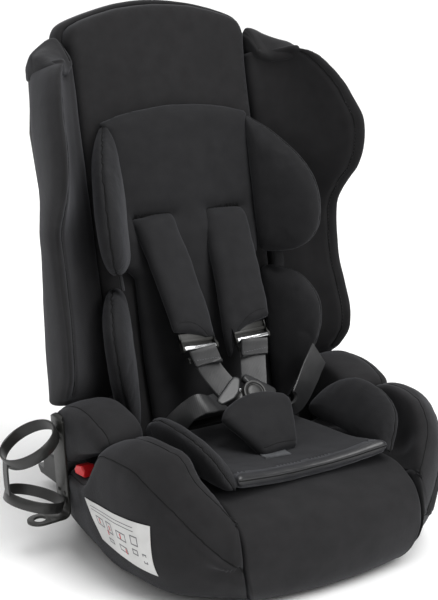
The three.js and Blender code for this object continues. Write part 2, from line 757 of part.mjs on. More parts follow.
// ---------------------------------------------------------------- assembly: buckle
const crotch = new THREE.Group();
crotch.position.set(0, -116, 134.5);
crotch.rotation.x = -BUCKLE_LEAN;
seat.add(crotch);
add(crotch, "crotch_pad", crotchPad(), FABRIC);
add(crotch, "buckle_housing", buckleHousing(), PLASTIC);
add(crotch, "buckle_button", block([-15, 10.5, 53], [15, 15, 79]), RED);
addPair(crotch, "buckle_tongue", buckleTongue(), PLASTIC);
add(
  seat,
  "crotch_strap",
  ribbon(
    [[0, -80, 5.5], [0, -80, 122], [0, -80.5, 131], [0, -82, 136], [0, -83.5, 138]],
    Array(5).fill(X_ACROSS),
    30,
    WEB_THICK,
  ),
  WEB,
);
add(seat, "crotch_anchor_plate", block([-34, STRAP_SLOT_Y - 13, 0.6], [34, STRAP_SLOT_Y + 13, 5]), STEEL);

// Lap webbing from each tongue to the hip, and shoulder webbing from tongue to adjuster.
addPair(
  seat,
  "lap_strap",
  ribbon(
    [[59, -40, 196], [70, -40, 188], [83, -33, 172], [96, -22, 154], [104, -12, 141]],
    [[0, -0.6, 0.7], [-0.2, -0.7, 0.6], [-0.3, -0.8, 0.4], [-0.2, -0.9, 0.3], [-0.1, -1, 0.2]],
    30,
    WEB_THICK,
  ),
  WEB,
);

// ---------------------------------------------------------------- assembly: connectors and cup holder
addPair(seat, "isofix_arm", isofixArm(), STEEL);
addPair(seat, "isofix_housing", isofixHousing(), PLASTIC);
addPair(seat, "isofix_hook", isofixHook(), STEEL);
addPair(seat, "isofix_button", isofixButton(), RED);

const cup = new THREE.Group();
cup.position.set(-221.5, CUP_Y, 172);
cup.rotation.set(0, 0, Math.PI);
const cupTilted = new THREE.Group();
cupTilted.rotation.y = CUP_TILT;
cup.add(cupTilted);
seat.add(cup);
add(cupTilted, "cup_holder_bracket", cupBracket(), BLACK_STEEL);
add(cupTilted, "cup_holder_cage", cupCage(), PLASTIC);

export default seat;
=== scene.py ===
import math
from collections import namedtuple

import bmesh
import bpy
import numpy as np
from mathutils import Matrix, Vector, geometry, noise
from mathutils.bvhtree import BVHTree


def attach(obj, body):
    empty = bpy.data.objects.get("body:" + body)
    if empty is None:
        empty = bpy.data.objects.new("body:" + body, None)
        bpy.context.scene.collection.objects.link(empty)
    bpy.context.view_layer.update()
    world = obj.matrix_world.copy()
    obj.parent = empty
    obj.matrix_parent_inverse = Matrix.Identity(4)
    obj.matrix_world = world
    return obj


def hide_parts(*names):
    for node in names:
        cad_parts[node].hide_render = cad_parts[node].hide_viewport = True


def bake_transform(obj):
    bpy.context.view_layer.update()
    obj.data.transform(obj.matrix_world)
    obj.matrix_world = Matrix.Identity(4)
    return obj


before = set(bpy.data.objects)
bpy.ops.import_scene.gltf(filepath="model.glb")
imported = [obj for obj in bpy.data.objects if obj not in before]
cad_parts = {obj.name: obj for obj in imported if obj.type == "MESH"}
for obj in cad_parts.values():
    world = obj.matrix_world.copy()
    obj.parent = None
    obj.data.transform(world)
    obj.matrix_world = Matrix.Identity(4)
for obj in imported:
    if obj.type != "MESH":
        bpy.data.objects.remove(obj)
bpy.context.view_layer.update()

MM = 0.001
WELD = 2e-6  # vertices nearer than this, in metres, are one
EASED, ALL_SMOOTH = 40, 180  # edges sharper than this many degrees stay sharp

# ------------------------------------------------------------------ the frame's own numbers, in mm
BACK_LEAN = math.radians(13)
PIVOT = np.array([0.0, 80.0, 115.0])
WING_ALONG = np.array([0.585, -0.811])  # from the centre panel out to a wing's rim
WING_INWARD = np.array([-0.811, -0.585])


def back(points):
    """Points in the backrest's frame [x, depth, height] put in the row frame."""
    p = np.asarray(points, float).reshape(-1, 3)
    c, s = math.cos(BACK_LEAN), math.sin(BACK_LEAN)
    y = p[:, 1] * c + p[:, 2] * s
    z = -p[:, 1] * s + p[:, 2] * c
    return np.column_stack([p[:, 0], y, z]) + PIVOT


# ------------------------------------------------------------------ curves
def catmull(points, per=12, closed=False):
    """A smooth curve through the points."""
    p = np.asarray(points, float)
    n = len(p)
    out = []
    for i in range(n if closed else n - 1):
        if closed:
            a, b, c, d = p[i - 1], p[i], p[(i + 1) % n], p[(i + 2) % n]
        else:
            a, b, c, d = p[max(i - 1, 0)], p[i], p[i + 1], p[min(i + 2, n - 1)]
        ta = max(np.linalg.norm(b - a), 1e-6) ** 0.5
        tb = max(np.linalg.norm(c - b), 1e-6) ** 0.5
        tc = max(np.linalg.norm(d - c), 1e-6) ** 0.5
        m0 = (c - a) * tb / (ta + tb) if np.any(b != a) else c - b
        m1 = (d - b) * tb / (tb + tc) if np.any(d != c) else c - b
        for k in range(per):
            t = k / per
            h = [2 * t**3 - 3 * t**2 + 1, t**3 - 2 * t**2 + t, -2 * t**3 + 3 * t**2, t**3 - t**2]
            out.append(h[0] * b + h[1] * m0 + h[2] * c + h[3] * m1)
    if not closed:
        out.append(p[-1])
    return np.array(out)


def resample(points, n, closed=False):
    """n points at even steps along a polyline."""
    p = np.asarray(points, float)
    if closed:
        p = np.vstack([p, p[:1]])
    s = np.concatenate([[0], np.cumsum(np.linalg.norm(np.diff(p, axis=0), axis=1))])
    at = np.linspace(0, s[-1], n, endpoint=not closed)
    return np.column_stack([np.interp(at, s, p[:, k]) for k in range(p.shape[1])])


def smooth(points, n, closed=False):
    return resample(catmull(points, closed=closed), n, closed)


def turns(n):
    """n angles evenly round a full turn."""
    return np.linspace(0, 2 * math.pi, n, endpoint=False)


def flip(points, mirrored):
    """The points themselves, or mirrored to the child's right."""
    p = np.asarray(points, float)
    return p * np.array([-1.0, 1.0, 1.0]) if mirrored else p


def both_sides(make):
    """Runs make for the child's left (+X) and right."""
    make("left", False)
    make("right", True)


# ------------------------------------------------------------------ mesh parts
class Part:
    """Vertices in mm and faces, gathered under one name, with a material number per face."""

    def __init__(self):
        self.v, self.f, self.m = [], [], []

    def add(self, verts, faces, material=0):
        base = len(self.v)
        self.v.extend(np.asarray(verts, float).tolist())
        self.f.extend([tuple(base + i for i in face) for face in faces])
        self.m.extend([material] * len(faces))
        return self

    def grid(self, rows, material=0, closed=True, caps=True):
        """Quads over rings of points. A closed ring is capped at both ends."""
        rows = np.asarray(rows, float)
        a, b = rows.shape[:2]
        faces = []
        for i in range(a - 1):
            for j in range(b if closed else b - 1):
                k = (j + 1) % b
                faces.append((i * b + j, i * b + k, (i + 1) * b + k, (i + 1) * b + j))
        if closed and caps:
            faces.append(tuple(range(b - 1, -1, -1)))
            faces.append(tuple((a - 1) * b + j for j in range(b)))
        return self.add(rows.reshape(-1, 3), faces, material)

    def tube(self, path, radius, sides=8, material=0, closed=False, flat=1.0):
        """A round cord along a path."""
        p = np.asarray(path, float)
        n = len(p)
        ahead = np.roll(p, -1, 0) - np.roll(p, 1, 0)
        if not closed:
            ahead[0], ahead[-1] = p[1] - p[0], p[-1] - p[-2]
        ahead /= np.maximum(np.linalg.norm(ahead, axis=1, keepdims=True), 1e-9)
        side = np.cross(ahead[0], [0.31, 0.17, 0.93])
        rings = []
        for i in range(n):
            side = side - ahead[i] * np.dot(side, ahead[i])
            side /= np.linalg.norm(side)
            up = np.cross(ahead[i], side)
            rings.append([
                p[i] + radius * (math.cos(t) * side + flat * math.sin(t) * up)
                for t in turns(sides)
            ])
        if closed:
            rings.append(rings[0])
            return self.grid(rings, material, caps=False)
        return self.grid(rings, material)


def put(name, part, materials, body, stands_for=(), levels=0, autosmooth=EASED):
    """Makes the object, in metres, and says what it rides on and stands for."""
    mesh = bpy.data.meshes.new(name)
    verts = np.asarray(part.v, float) * MM
    mesh.from_pydata(verts.tolist(), [], part.f)
    for m in materials:
        mesh.materials.append(m)
    mesh.polygons.foreach_set("material_index", part.m)
    bm = bmesh.new()
    bm.from_mesh(mesh)
    bmesh.ops.remove_doubles(bm, verts=bm.verts, dist=WELD)
    bmesh.ops.recalc_face_normals(bm, faces=bm.faces)
    bm.to_mesh(mesh)
    bm.free()
    obj = bpy.data.objects.new(name, mesh)
    bpy.context.scene.collection.objects.link(obj)
    if levels:
        subdivide(obj, levels)
    shade(obj, autosmooth)
    if body:
        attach(obj, body)
    if stands_for:
        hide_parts(*stands_for)
    return obj


def apply_modifiers(obj):
    """Replaces the mesh by what its modifiers make of it."""
    dg = bpy.context.evaluated_depsgraph_get()
    made = bpy.data.meshes.new_from_object(obj.evaluated_get(dg))
    obj.modifiers.clear()
    old = obj.data
    obj.data = made
    bpy.data.meshes.remove(old)


def subdivide(obj, levels):
    mod = obj.modifiers.new("finer", "SUBSURF")
    mod.levels = mod.render_levels = levels
    apply_modifiers(obj)


def shade(obj, angle=EASED):
    obj.data.polygons.foreach_set("use_smooth", [True] * len(obj.data.polygons))
    if angle < ALL_SMOOTH:
        limit = math.radians(angle)
        bm = bmesh.new()
        bm.from_mesh(obj.data)
        for e in bm.edges:
            if len(e.link_faces) == 2:
                e.smooth = e.calc_face_angle(0) < limit
        bm.to_mesh(obj.data)
        bm.free()
    obj.data.update()


def coordinates(obj):
    co = np.empty(len(obj.data.vertices) * 3)
    obj.data.vertices.foreach_get("co", co)
    return co.reshape(-1, 3)


def move_vertices(obj, co):
    obj.data.vertices.foreach_set("co", co.ravel())
    obj.data.update()


def vertex_normals(obj):
    obj.data.update()
    no = np.empty(len(obj.data.vertices) * 3)
    obj.data.vertex_normals.foreach_get("vector", no)
    return no.reshape(-1, 3)


def distance_to(points, path, closed=False):
    """Each point's distance to a polyline."""
    p = np.asarray(path, float)
    if closed:
        p = np.vstack([p, p[:1]])
    best = np.full(len(points), 1e9)
    for a, b in zip(p[:-1], p[1:]):
        d = b - a
        t = np.clip(((points - a) @ d) / max(d @ d, 1e-12), 0, 1)
        best = np.minimum(best, np.linalg.norm(points - a - t[:, None] * d, axis=1))
    return best


def groove(obj, path, depth, width, closed=False):
    """Presses a seam into the surface along a path given in mm."""
    co, no = coordinates(obj), vertex_normals(obj)
    path = np.asarray(path, float) * MM
    lo, hi = path.min(0) - 4 * width * MM, path.max(0) + 4 * width * MM
    near = np.where(np.all((co > lo) & (co < hi), axis=1))[0]
    d = distance_to(co[near], path, closed) / (width * MM)
    push = depth * MM * np.exp(-np.abs(d) ** 1.5)
    co[near] -= no[near] * push[:, None]
    move_vertices(obj, co)


def relief(obj, amount, size, seed=0):
    """Gentle unevenness, as foam under a cover has."""
    co, no = coordinates(obj), vertex_normals(obj)
    offset = Vector((seed * 3.1, seed * 1.7, seed * 0.9))
    step = np.array([
        noise.noise(Vector(p) / (size * MM) + offset)
        + 0.4 * noise.noise(Vector(p) / (0.4 * size * MM) + offset)
        for p in co
    ])
    co += no * (step * amount * MM)[:, None]
    move_vertices(obj, co)


def on_surface(obj, path, lift=0.0):
    """The path moved to the nearest place on the surface, in mm."""
    bm = bmesh.new()
    bm.from_mesh(obj.data)
    tree = BVHTree.FromBMesh(bm)
    out = []
    for p in np.asarray(path, float) * MM:
        hit, normal, _, _ = tree.find_nearest(Vector(p))
        out.append(np.array(hit + normal * lift * MM) / MM)
    bm.free()
    return np.array(out)


# ------------------------------------------------------------------ flat pads of any outline
def inside(points, outline):
    """Which points lie within a closed outline."""
    x, y = points[:, 0], points[:, 1]
    odd = np.zeros(len(points), bool)
    for (x0, y0), (x1, y1) in zip(outline, np.roll(outline, -1, 0)):
        crosses = (y0 > y) != (y1 > y)
        if y0 != y1:
            odd ^= crosses & (x < x0 + (y - y0) * (x1 - x0) / (y1 - y0))
    return odd


def flat_field(outline, spacing, offsets=(1.2, 2.8, 5.0, 8.0, 12.0)):
    """Points and triangles over an outline, with each point's distance in from the rim."""
    rim = np.asarray(outline, float)
    n = len(rim)
    ahead = np.roll(rim, -1, 0) - np.roll(rim, 1, 0)
    area = np.sum(rim[:, 0] * np.roll(rim[:, 1], -1) - np.roll(rim[:, 0], -1) * rim[:, 1])
    inward = np.column_stack([-ahead[:, 1], ahead[:, 0]]) * np.sign(area)
    inward /= np.maximum(np.linalg.norm(inward, axis=1, keepdims=True), 1e-9)
    flat = lambda q: np.column_stack([q, np.zeros(len(q))])
    from_rim = lambda q: distance_to(flat(q), flat(rim), True)
    inner = []
    for k in offsets:
        q = rim + inward * k
        keep = from_rim(q) > 0.93 * k
        keep &= inside(q, rim)
        inner.append(q[keep][:: 2 if k > 6 else 1])
    lo, hi = rim.min(0), rim.max(0)
    xs = np.arange(lo[0], hi[0] + spacing, spacing)
    ys = np.arange(lo[1], hi[1] + spacing, spacing * 0.866)
    hexes = np.array([(x + (j % 2) * spacing / 2, y) for j, y in enumerate(ys) for x in xs])
    inner.append(hexes[(from_rim(hexes) > offsets[-1] + spacing * 0.6) & inside(hexes, rim)])
    points = np.vstack([rim] + inner)
    edges = [(i, (i + 1) % n) for i in range(n)]
    made = geometry.delaunay_2d_cdt(
        [Vector(p) for p in points], edges, [], 1, 1e-5, True)
    xy = np.array([tuple(p) for p in made[0]])
    depth = from_rim(xy)
    depth[depth < 1e-3] = 0.0
    faces = np.array([tuple(f) for f in made[2]])
    faces = faces[inside(xy[faces].mean(1), rim)]
    return xy, [tuple(int(i) for i in f) for f in faces], depth


def dome(depth, radius, height):
    """A rim rounded over radius that rises to height."""
    t = np.clip(depth / radius, 0, 1)
    return height * np.sqrt(np.maximum(1 - (1 - t) ** 2, 0))


def pillow(outline, place, front, rear, spacing):
    """A closed pad: the outline filled twice and puffed out by front and rear, functions of
    (points, distance from the rim). place(points, height) puts it in the row frame."""
    xy, tris, depth = flat_field(outline, spacing)
    rim = depth == 0
    count = len(xy)
    up = place(xy, front(xy, depth) * ~rim)
    down = place(xy, -rear(xy, depth) * ~rim)
    verts = np.vstack([up, down])
    under = [tuple((i if rim[i] else i + count) for i in (a, c, b)) for a, b, c in tris]
    return Part().add(verts, list(tris) + under)


def pad(name, outline, place, front, rear, spacing, materials):
    """A pad that is smooth all over. What it rides on is said once it has its shape."""
    return put(name, pillow(outline, place, front, rear, spacing), materials, None,
               autosmooth=ALL_SMOOTH)


def upholster(obj, body, slot, fill, *stands_for):
    """Says what a padded cover rides on and what it stands for. Its slot and how full it is are not used."""
    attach(obj, body)
    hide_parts(*stands_for)


# ------------------------------------------------------------------ cloth
def inflate(obj, pressure=4.0, voxel=4.5, cap=5.0, frames=20):
    """Foam in a sewn cover: the piece is remeshed, blown up as cloth and held near its shape."""
    mod = obj.modifiers.new("remesh", "REMESH")
    mod.mode = "VOXEL"
    mod.voxel_size = voxel * MM
    apply_modifiers(obj)
    start = coordinates(obj)
    mod = obj.modifiers.new("cloth", "CLOTH")
    mod.settings.quality = 6
    mod.settings.use_pressure = True
    mod.settings.uniform_pressure_force = pressure
    mod.settings.effector_weights.gravity = 0
    mod.collision_settings.use_collision = False
    mod.collision_settings.use_self_collision = False
    scene = bpy.context.scene
    mod.point_cache.frame_start, mod.point_cache.frame_end = 1, frames
    for f in range(1, frames + 1):
        scene.frame_set(f)
    apply_modifiers(obj)
    scene.frame_set(1)
    moved = coordinates(obj) - start
    length = np.maximum(np.linalg.norm(moved, axis=1), 1e-12)
    limit = cap * MM
    scale = limit * np.tanh(length / limit) / length
    move_vertices(obj, start + moved * scale[:, None])
    subdivide(obj, 1)


# ------------------------------------------------------------------ materials
WAVE = 0.314  # scale times pitch in metres, for one band of the wave texture
SHEEN_TINT = (0.9, 0.92, 1.0, 1)


def node(tree, kind, **values):
    made = tree.nodes.new(kind)
    for key, value in values.items():
        if key in made.inputs:
            made.inputs[key].default_value = value
        else:
            setattr(made, key, value)
    return made


def start_material(name):
    mat = bpy.data.materials.new(name)
    mat.use_nodes = True
    tree = mat.node_tree
    return mat, tree, tree.nodes["Principled BSDF"]


def set_inputs(made, values):
    for key, value in values.items():
        made.inputs[key].default_value = value


def textured(tree, kind, turn=(0, 0, 0), stretch=(1, 1, 1), **values):
    """A procedural texture in the object's own coordinates, turned and stretched."""
    source = node(tree, "ShaderNodeTexCoord")
    mapped = node(tree, "ShaderNodeMapping", Rotation=turn, Scale=stretch)
    made = node(tree, kind, **values)
    tree.links.new(source.outputs["Object"], mapped.inputs["Vector"])
    tree.links.new(mapped.outputs["Vector"], made.inputs["Vector"])
    return made


def mottled(tree, shader, low, high, scale):
    """The base colour drifts between two tones."""
    n = textured(tree, "ShaderNodeTexNoise", Scale=scale, Detail=4.0)
    ramp = node(tree, "ShaderNodeValToRGB")
    for element, position, color in zip(ramp.color_ramp.elements, (0.3, 0.7), (low, high)):
        element.position = position
        element.color = (*color, 1)
    tree.links.new(n.outputs["Fac"], ramp.inputs["Fac"])
    tree.links.new(ramp.outputs["Color"], shader.inputs["Base Color"])


def shades(color, low, high):
    return tuple(c * low for c in color), tuple(c * high for c in color)


def bump(tree, shader, height, strength, distance, below=None):
    b = node(tree, "ShaderNodeBump", Strength=strength, Distance=distance)
    tree.links.new(height, b.inputs["Height"])
    if below is not None:
        tree.links.new(below, b.inputs["Normal"])
    tree.links.new(b.outputs["Normal"], shader.inputs["Normal"])
    return b.outputs["Normal"]


def uneven_roughness(tree, shader, pattern, low, high):
    spread = node(tree, "ShaderNodeMapRange")
    set_inputs(spread, {"To Min": low, "To Max": high})
    tree.links.new(pattern, spread.inputs["Value"])
    tree.links.new(spread.outputs["Result"], shader.inputs["Roughness"])


def rib_scale(pitch):
    """The wave texture's scale that repeats every pitch mm."""
    return WAVE / (pitch * MM)


def knit(name, low, high, pitch, sheen, rough=0.85, weave=0.25, level=0.22):
    """Knitted or woven cloth: crossed fine ribs, soft mottling and a fibre sheen."""
    mat, tree, shader = start_material(name)
    mottled(tree, shader, low, high, 55.0)
    set_inputs(shader, {
        "Roughness": rough, "Specular IOR Level": level, "Sheen Weight": sheen,
        "Sheen Roughness": 0.45, "Sheen Tint": SHEEN_TINT,
    })
    both = node(tree, "ShaderNodeMath", operation="MULTIPLY")
    for place, turn in enumerate(((0.2, 0.5, 0.7), (1.3, -0.4, 2.1))):
        w = textured(tree, "ShaderNodeTexWave", turn, Scale=rib_scale(pitch), Distortion=1.2, Detail=1.0)
        w.inputs["Detail Scale"].default_value = 1.5
        tree.links.new(w.outputs["Fac"], both.inputs[place])
    fine = bump(tree, shader, both.outputs["Value"], weave, 0.0004)
    soft = textured(tree, "ShaderNodeTexNoise", Scale=90.0, Detail=3.0)
    bump(tree, shader, soft.outputs["Fac"], 0.12, 0.002, below=fine)
    return mat


def webbing_material(name, color):
    """Narrow-woven polyester with ribs across the strap."""
    mat, tree, shader = start_material(name)
    mottled(tree, shader, *shades(color, 0.75, 1.35), 140.0)
    set_inputs(shader, {"Roughness": 0.42, "Sheen Weight": 0.06})
    w = textured(tree, "ShaderNodeTexWave", (0.3, 0.1, 0), Scale=rib_scale(1.3), Distortion=0.6,
                 bands_direction="Z")
    v = textured(tree, "ShaderNodeTexWave", (0, 0, 0.2), Scale=rib_scale(2.2), Distortion=0.4,
                 bands_direction="X")
    both = node(tree, "ShaderNodeMath", operation="MULTIPLY_ADD")
    tree.links.new(w.outputs["Fac"], both.inputs[0])
    both.inputs[1].default_value = 0.8
    tree.links.new(v.outputs["Fac"], both.inputs[2])
    bump(tree, shader, both.outputs["Value"], 0.22, 0.0003)
    return mat


def plastic(name, color, rough=0.45, grain=0.12, size=900.0):
    """Moulded plastic with a fine spark-eroded grain."""
    mat, tree, shader = start_material(name)
    mottled(tree, shader, *shades(color, 0.9, 1.12), 25.0)
    n = textured(tree, "ShaderNodeTexNoise", Scale=size, Detail=2.0)
    bump(tree, shader, n.outputs["Fac"], grain, 0.0004)
    uneven_roughness(tree, shader, n.outputs["Fac"], rough - 0.06, rough + 0.08)
    return mat


def metal(name, color, rough, brushed=0.0, metallic=1.0):
    """Metal with faint handling marks, or with brush lines."""
    mat, tree, shader = start_material(name)
    mottled(tree, shader, *shades(color, 0.94, 1), 60.0)
    shader.inputs["Metallic"].default_value = metallic
    n = textured(tree, "ShaderNodeTexNoise", stretch=(0.08 if brushed else 1.0, 1.0, 1.0), Scale=180.0,
                 Detail=5.0)
    uneven_roughness(tree, shader, n.outputs["Fac"], max(rough - 0.05, 0.02), rough + 0.12)
    bump(tree, shader, n.outputs["Fac"], 0.05 + 0.2 * brushed, 0.0003)
    return mat


COVER = knit("cover_cloth", (0.0100, 0.0098, 0.0104), (0.0140, 0.0136, 0.0144), 0.9, 0.10)
INLAY = knit("inlay_cloth", (0.0092, 0.0092, 0.0101), (0.0130, 0.0130, 0.0140), 0.9, 0.10)
SATIN = knit("satin_edge", (0.009, 0.009, 0.010), (0.013, 0.013, 0.014), 0.6, 0.25, 0.32, 0.12, 0.5)
SEAM = knit("seam_shadow", (0.003, 0.003, 0.003), (0.005, 0.005, 0.005), 0.5, 0.02, 0.9, 0.3)
THREAD = knit("sewing_thread", (0.012, 0.012, 0.013), (0.03, 0.03, 0.032), 0.35, 0.2, 0.55, 0.4)
LIGHT_THREAD = knit("light_thread", (0.10, 0.10, 0.11), (0.16, 0.16, 0.17), 0.35, 0.1, 0.6, 0.3)
WEBBING = webbing_material("webbing", (0.0062, 0.0065, 0.0072))
GREY_WEB = webbing_material("grey_webbing", (0.07, 0.073, 0.078))
SHELL = plastic("shell_plastic", (0.012, 0.012, 0.0125), 0.55, 0.35, 700.0)
DARK = plastic("dark_plastic", (0.014, 0.014, 0.0135), 0.38)
GREY_GRIP = plastic("grey_grip_plastic", (0.018, 0.0185, 0.0195), 0.36)
RED = plastic("red_plastic", (0.62, 0.012, 0.016), 0.32, 0.06)
BLACK_STEEL = metal("black_steel", (0.022, 0.022, 0.020), 0.36, 0.0, 0.3)
STEEL = metal("zinc_steel", (0.46, 0.46, 0.47), 0.34, 0.6)
CHROME = metal("chrome", (0.78, 0.79, 0.80), 0.08)
PAPER = plastic("sticker_film", (0.60, 0.60, 0.59), 0.42, 0.05, 300.0)
INK = plastic("sticker_ink", (0.13, 0.13, 0.14), 0.5, 0.05, 300.0)
RED_INK = plastic("sticker_red_ink", (0.55, 0.06, 0.06), 0.5, 0.05, 300.0)


def join_into(obj, part, material):
    """Adds a part's faces to an object, in mm, with their own material."""
    if material.name not in [m.name for m in obj.data.materials]:
        obj.data.materials.append(material)
    index = [m.name for m in obj.data.materials].index(material.name)
    bm = bmesh.new()
    bm.from_mesh(obj.data)
    verts = [bm.verts.new(np.array(v) * MM) for v in part.v]
    for f in part.f:
        face = bm.faces.new([verts[i] for i in f])
        face.material_index = index
        face.smooth = True
    bm.to_mesh(obj.data)
    bm.free()
    obj.data.update()


Seam = namedtuple("Seam", "path depth width radius closed lift material",
                  defaults=(1.6, 3.0, 0.7, False, -0.2, SEAM))


def sew_all(obj, *seams):
    """Presses every seam first, then lays the lines."""
    pressed = []
    for s in seams:
        pressed.append(on_surface(obj, s.path))
        groove(obj, pressed[-1], s.depth, s.width, s.closed)
    lines = [Part().tube(on_surface(obj, path, s.lift), s.radius, 6, closed=s.closed)
             for path, s in zip(pressed, seams)]
    for line, s in zip(lines, seams):
        join_into(obj, line, s.material)


def stitches(obj, path, length, gap, radius, material):
    """Separate thread stitches along a path."""
    part = Part()
    count = int(len_of(path) / (length + gap))
    fine = resample(path, count * 10 + 1)
    for i in range(count):
        a = fine[i * 10: i * 10 + 1 + int(10 * length / (length + gap))]
        part.tube(on_surface(obj, a, 0.1), radius, 5)
    join_into(obj, part, material)


def len_of(path):
    return float(np.sum(np.linalg.norm(np.diff(np.asarray(path, float), axis=0), axis=1)))


# ------------------------------------------------------------------ backrest: centre panel
TOWER = [
    (0, 551), (30, 549.5), (54, 547), (85, 540), (108, 533), (124, 526), (130, 517), (133, 505),
    (131.5, 490), (130.5, 474), (130, 400), (130, 300), (130, 180), (129, 60), (126, 20),
    (119, 0), (112, -6), (60, -7), (0, -7),
]


def mirrored_outline(half, n):
    """A closed outline from its half with x >= 0, resampled evenly."""
    half = np.asarray(half, float)
    other = half[(half[:, 0] > 0)][::-1] * np.array([-1, 1])
    return resample(np.vstack([half, other]), n, True)


def centre_panel():
    outline = mirrored_outline(TOWER, 300)
    place = lambda xy, h: back(np.column_stack([xy[:, 0], -15 - h, xy[:, 1]]))
    front = lambda xy, d: dome(d, 10, 16) + 3.0 * np.clip(d / 110, 0, 1) ** 0.8
    rear = lambda xy, d: dome(d, 6, 11.4)
    obj = pad("back_panel_cover", outline, place, front, rear, 5.0, [COVER])
    relief(obj, 0.7, 60, 1)
    upholster(obj, "backrest", "cover_fabric", 0.7, "back_pad")


def tower_hood():
    """The cover's outer band, wrapped over the shell's top edge."""
    edge = catmull([
        (139, 462), (137, 480), (138, 505), (133, 524), (121, 533), (86, 544), (44, 553), (0, 556.5),
        (-44, 553), (-86, 544), (-121, 533), (-133, 524), (-138, 505), (-137, 480), (-139, 462),
    ])
    edge = resample(edge, 120)
    ahead = np.gradient(edge, axis=0)
    out = np.column_stack([-ahead[:, 1], ahead[:, 0]])
    out /= np.linalg.norm(out, axis=1, keepdims=True)
    out *= np.sign(np.sum(out * (edge - [0, 400]), axis=1))[:, None]
    profile = [
        (-8.5, -10), (-3, -13), (0.5, -11), (2.6, -4), (3.0, 4), (2.4, 11), (0.2, 16.5), (-5, 20.5),
        (-12, 24.2), (-22, 25), (-32, 24.6), (-34, 23), (-32, 21), (-16, 21), (-6.5, 20.7), (-5.5, 15),
        (-5.5, -2), (-7, -3.2),
    ]
    rings = []
    for (x, z), (ox, oz) in zip(edge, out):
        rings.append([(x + ox * n, v, z + oz * n) for n, v in profile])
    obj = put("back_panel_hood", Part().grid([back(r) for r in rings]), [COVER], None, levels=1,
              autosmooth=60)
    relief(obj, 0.6, 40, 2)
    hem = back([(x + ox * -24, 25.2, z + oz * -24) for (x, z), (ox, oz) in zip(edge, out)])
    sew_all(obj, Seam(hem[2:-2], depth=0.9, width=2.0, radius=0.5))
    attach(obj, "backrest")


# ------------------------------------------------------------------ backrest: wings
# Front rim of a wing by height: [x, depth, height].
WING_RIM = [
    (203, -40, 62), (207, -58, 72), (210, -80, 96), (210, -86, 124), (207, -84, 159),
    (205, -80, 194), (205, -83, 235), (207, -89, 268), (210, -110, 291), (214, -136, 313),
    (215, -152, 342), (214, -156, 371), (210, -146, 398), (203, -134, 426), (191, -115, 455),
    (181, -102, 468), (172, -90, 474),
]


# The wing's rear outer corner and the bulge of its flank by height: [height, x, depth, bulge].
WING_REAR = [
    (56, 202, 10, 8), (127, 200, 5, 8), (190, 197, 1, 8), (250, 189, -3, 11), (314, 182, -6, 15),
    (371, 181, -6, 17), (430, 181, -6, 15), (480, 180, -6, 10),
]
WING_ROOT = np.array([131.4, -31.0])  # where a wing meets the centre panel


def wing_rear(w):
    """The rear corner [x, depth] and the flank's bulge at height w."""
    heights, *columns = zip(*WING_REAR)
    x, v, bulge = (np.interp(w, heights, column) for column in columns)
    return np.array([x, v]), bulge


def wing_section(x, v, w):
    """One closed ring across a wing at height w whose rim is at (x, v)."""
    rear, bulge = wing_rear(w)
    root, rim = WING_ROOT, np.array([x, v])

    def off(a, b, t, amount):
        """A point between a and b, set out towards the wing's outer side."""
        along = (b - a) / np.linalg.norm(b - a)
        side = np.array([abs(along[1]), -along[0] * np.sign(along[1])])
        return a + (b - a) * t + side * amount

    deep = np.clip((-v - 80) / 76, 0, 1)
    bowl = 3 + 7 * deep
    inner = [off(root, rim, t, k * bowl) for t, k in ((0.15, 0.5), (0.35, 1), (0.58, 0.9), (0.78, 0.25))]
    near = [off(root, rim, 0.9, -1.2), off(root, rim, 0.97, -1.0)]
    flank = [off(rim, rear, t, k * bulge) for t, k in
             ((0.03, 0.42), (0.16, 0.85), (0.36, 1.04), (0.62, 1.0), (0.85, 0.6), (0.97, 0.22))]
    points = [
        root, *inner, *near, rim + [2.2, -1.5], *flank, rear + [-4, 4.5], rear + [-9, 8.5],
        rear + [-13.5, 9.5], rear + [-16.5, 7], rear + [-18, 1], [155, -4], [145, -4], [131.4, -4.2],
        [131.4, -12],
    ]
    return smooth(points, 96, closed=True)


def wing(hand, mirrored):
    rim = smooth(WING_RIM, 80)
    rings = []
    for x, v, w in rim:
        ring = wing_section(x, v, w)
        rings.append(np.column_stack([ring, np.full(len(ring), w)]))
    first, last = rings[0], rings[-1]
    for ring, way in ((first, -1), (last, 1)):
        centre = ring.mean(0)
        for grow, rise in ((0.985, 2.0), (0.95, 3.6), (0.9, 4.6), (0.8, 5.2), (0.55, 5.6), (0.2, 5.8)):
            capped = centre + (ring - centre) * [grow, grow, 1] + [0, 0, way * rise]
            rings.insert(0, capped) if way < 0 else rings.append(capped)
    rings = [flip(back(r), mirrored) for r in rings]
    obj = put(f"wing_cover_{hand}", Part().grid(rings), [COVER], None, autosmooth=ALL_SMOOTH)
    relief(obj, 0.9, 70, 3 + mirrored)
    seam = []
    for x, v, w in rim[3:-2]:
        r = np.array([x, v])
        q = r - (r - WING_ROOT) / np.linalg.norm(r - WING_ROOT) * (11 if v < -110 else 9)
        seam.append((q[0], q[1], w))
    seam = flip(back(seam), mirrored)
    hem = [(*(wing_rear(w)[0] + [-12, 9]), w) for w in range(70, 470, 8)]
    sew_all(
        obj,
        Seam(resample(seam, 150), depth=2.2, width=3.2, radius=0.8),
        Seam(flip(back(hem), mirrored), depth=0.8, width=2.4, radius=0.5),
    )
    stitches(obj, resample(seam[6:60], 90), 2.6, 2.2, 0.28, THREAD)
    upholster(obj, "backrest", "cover_fabric", 0.8, f"wing_pad_{hand}", f"wing_shell_{hand}")


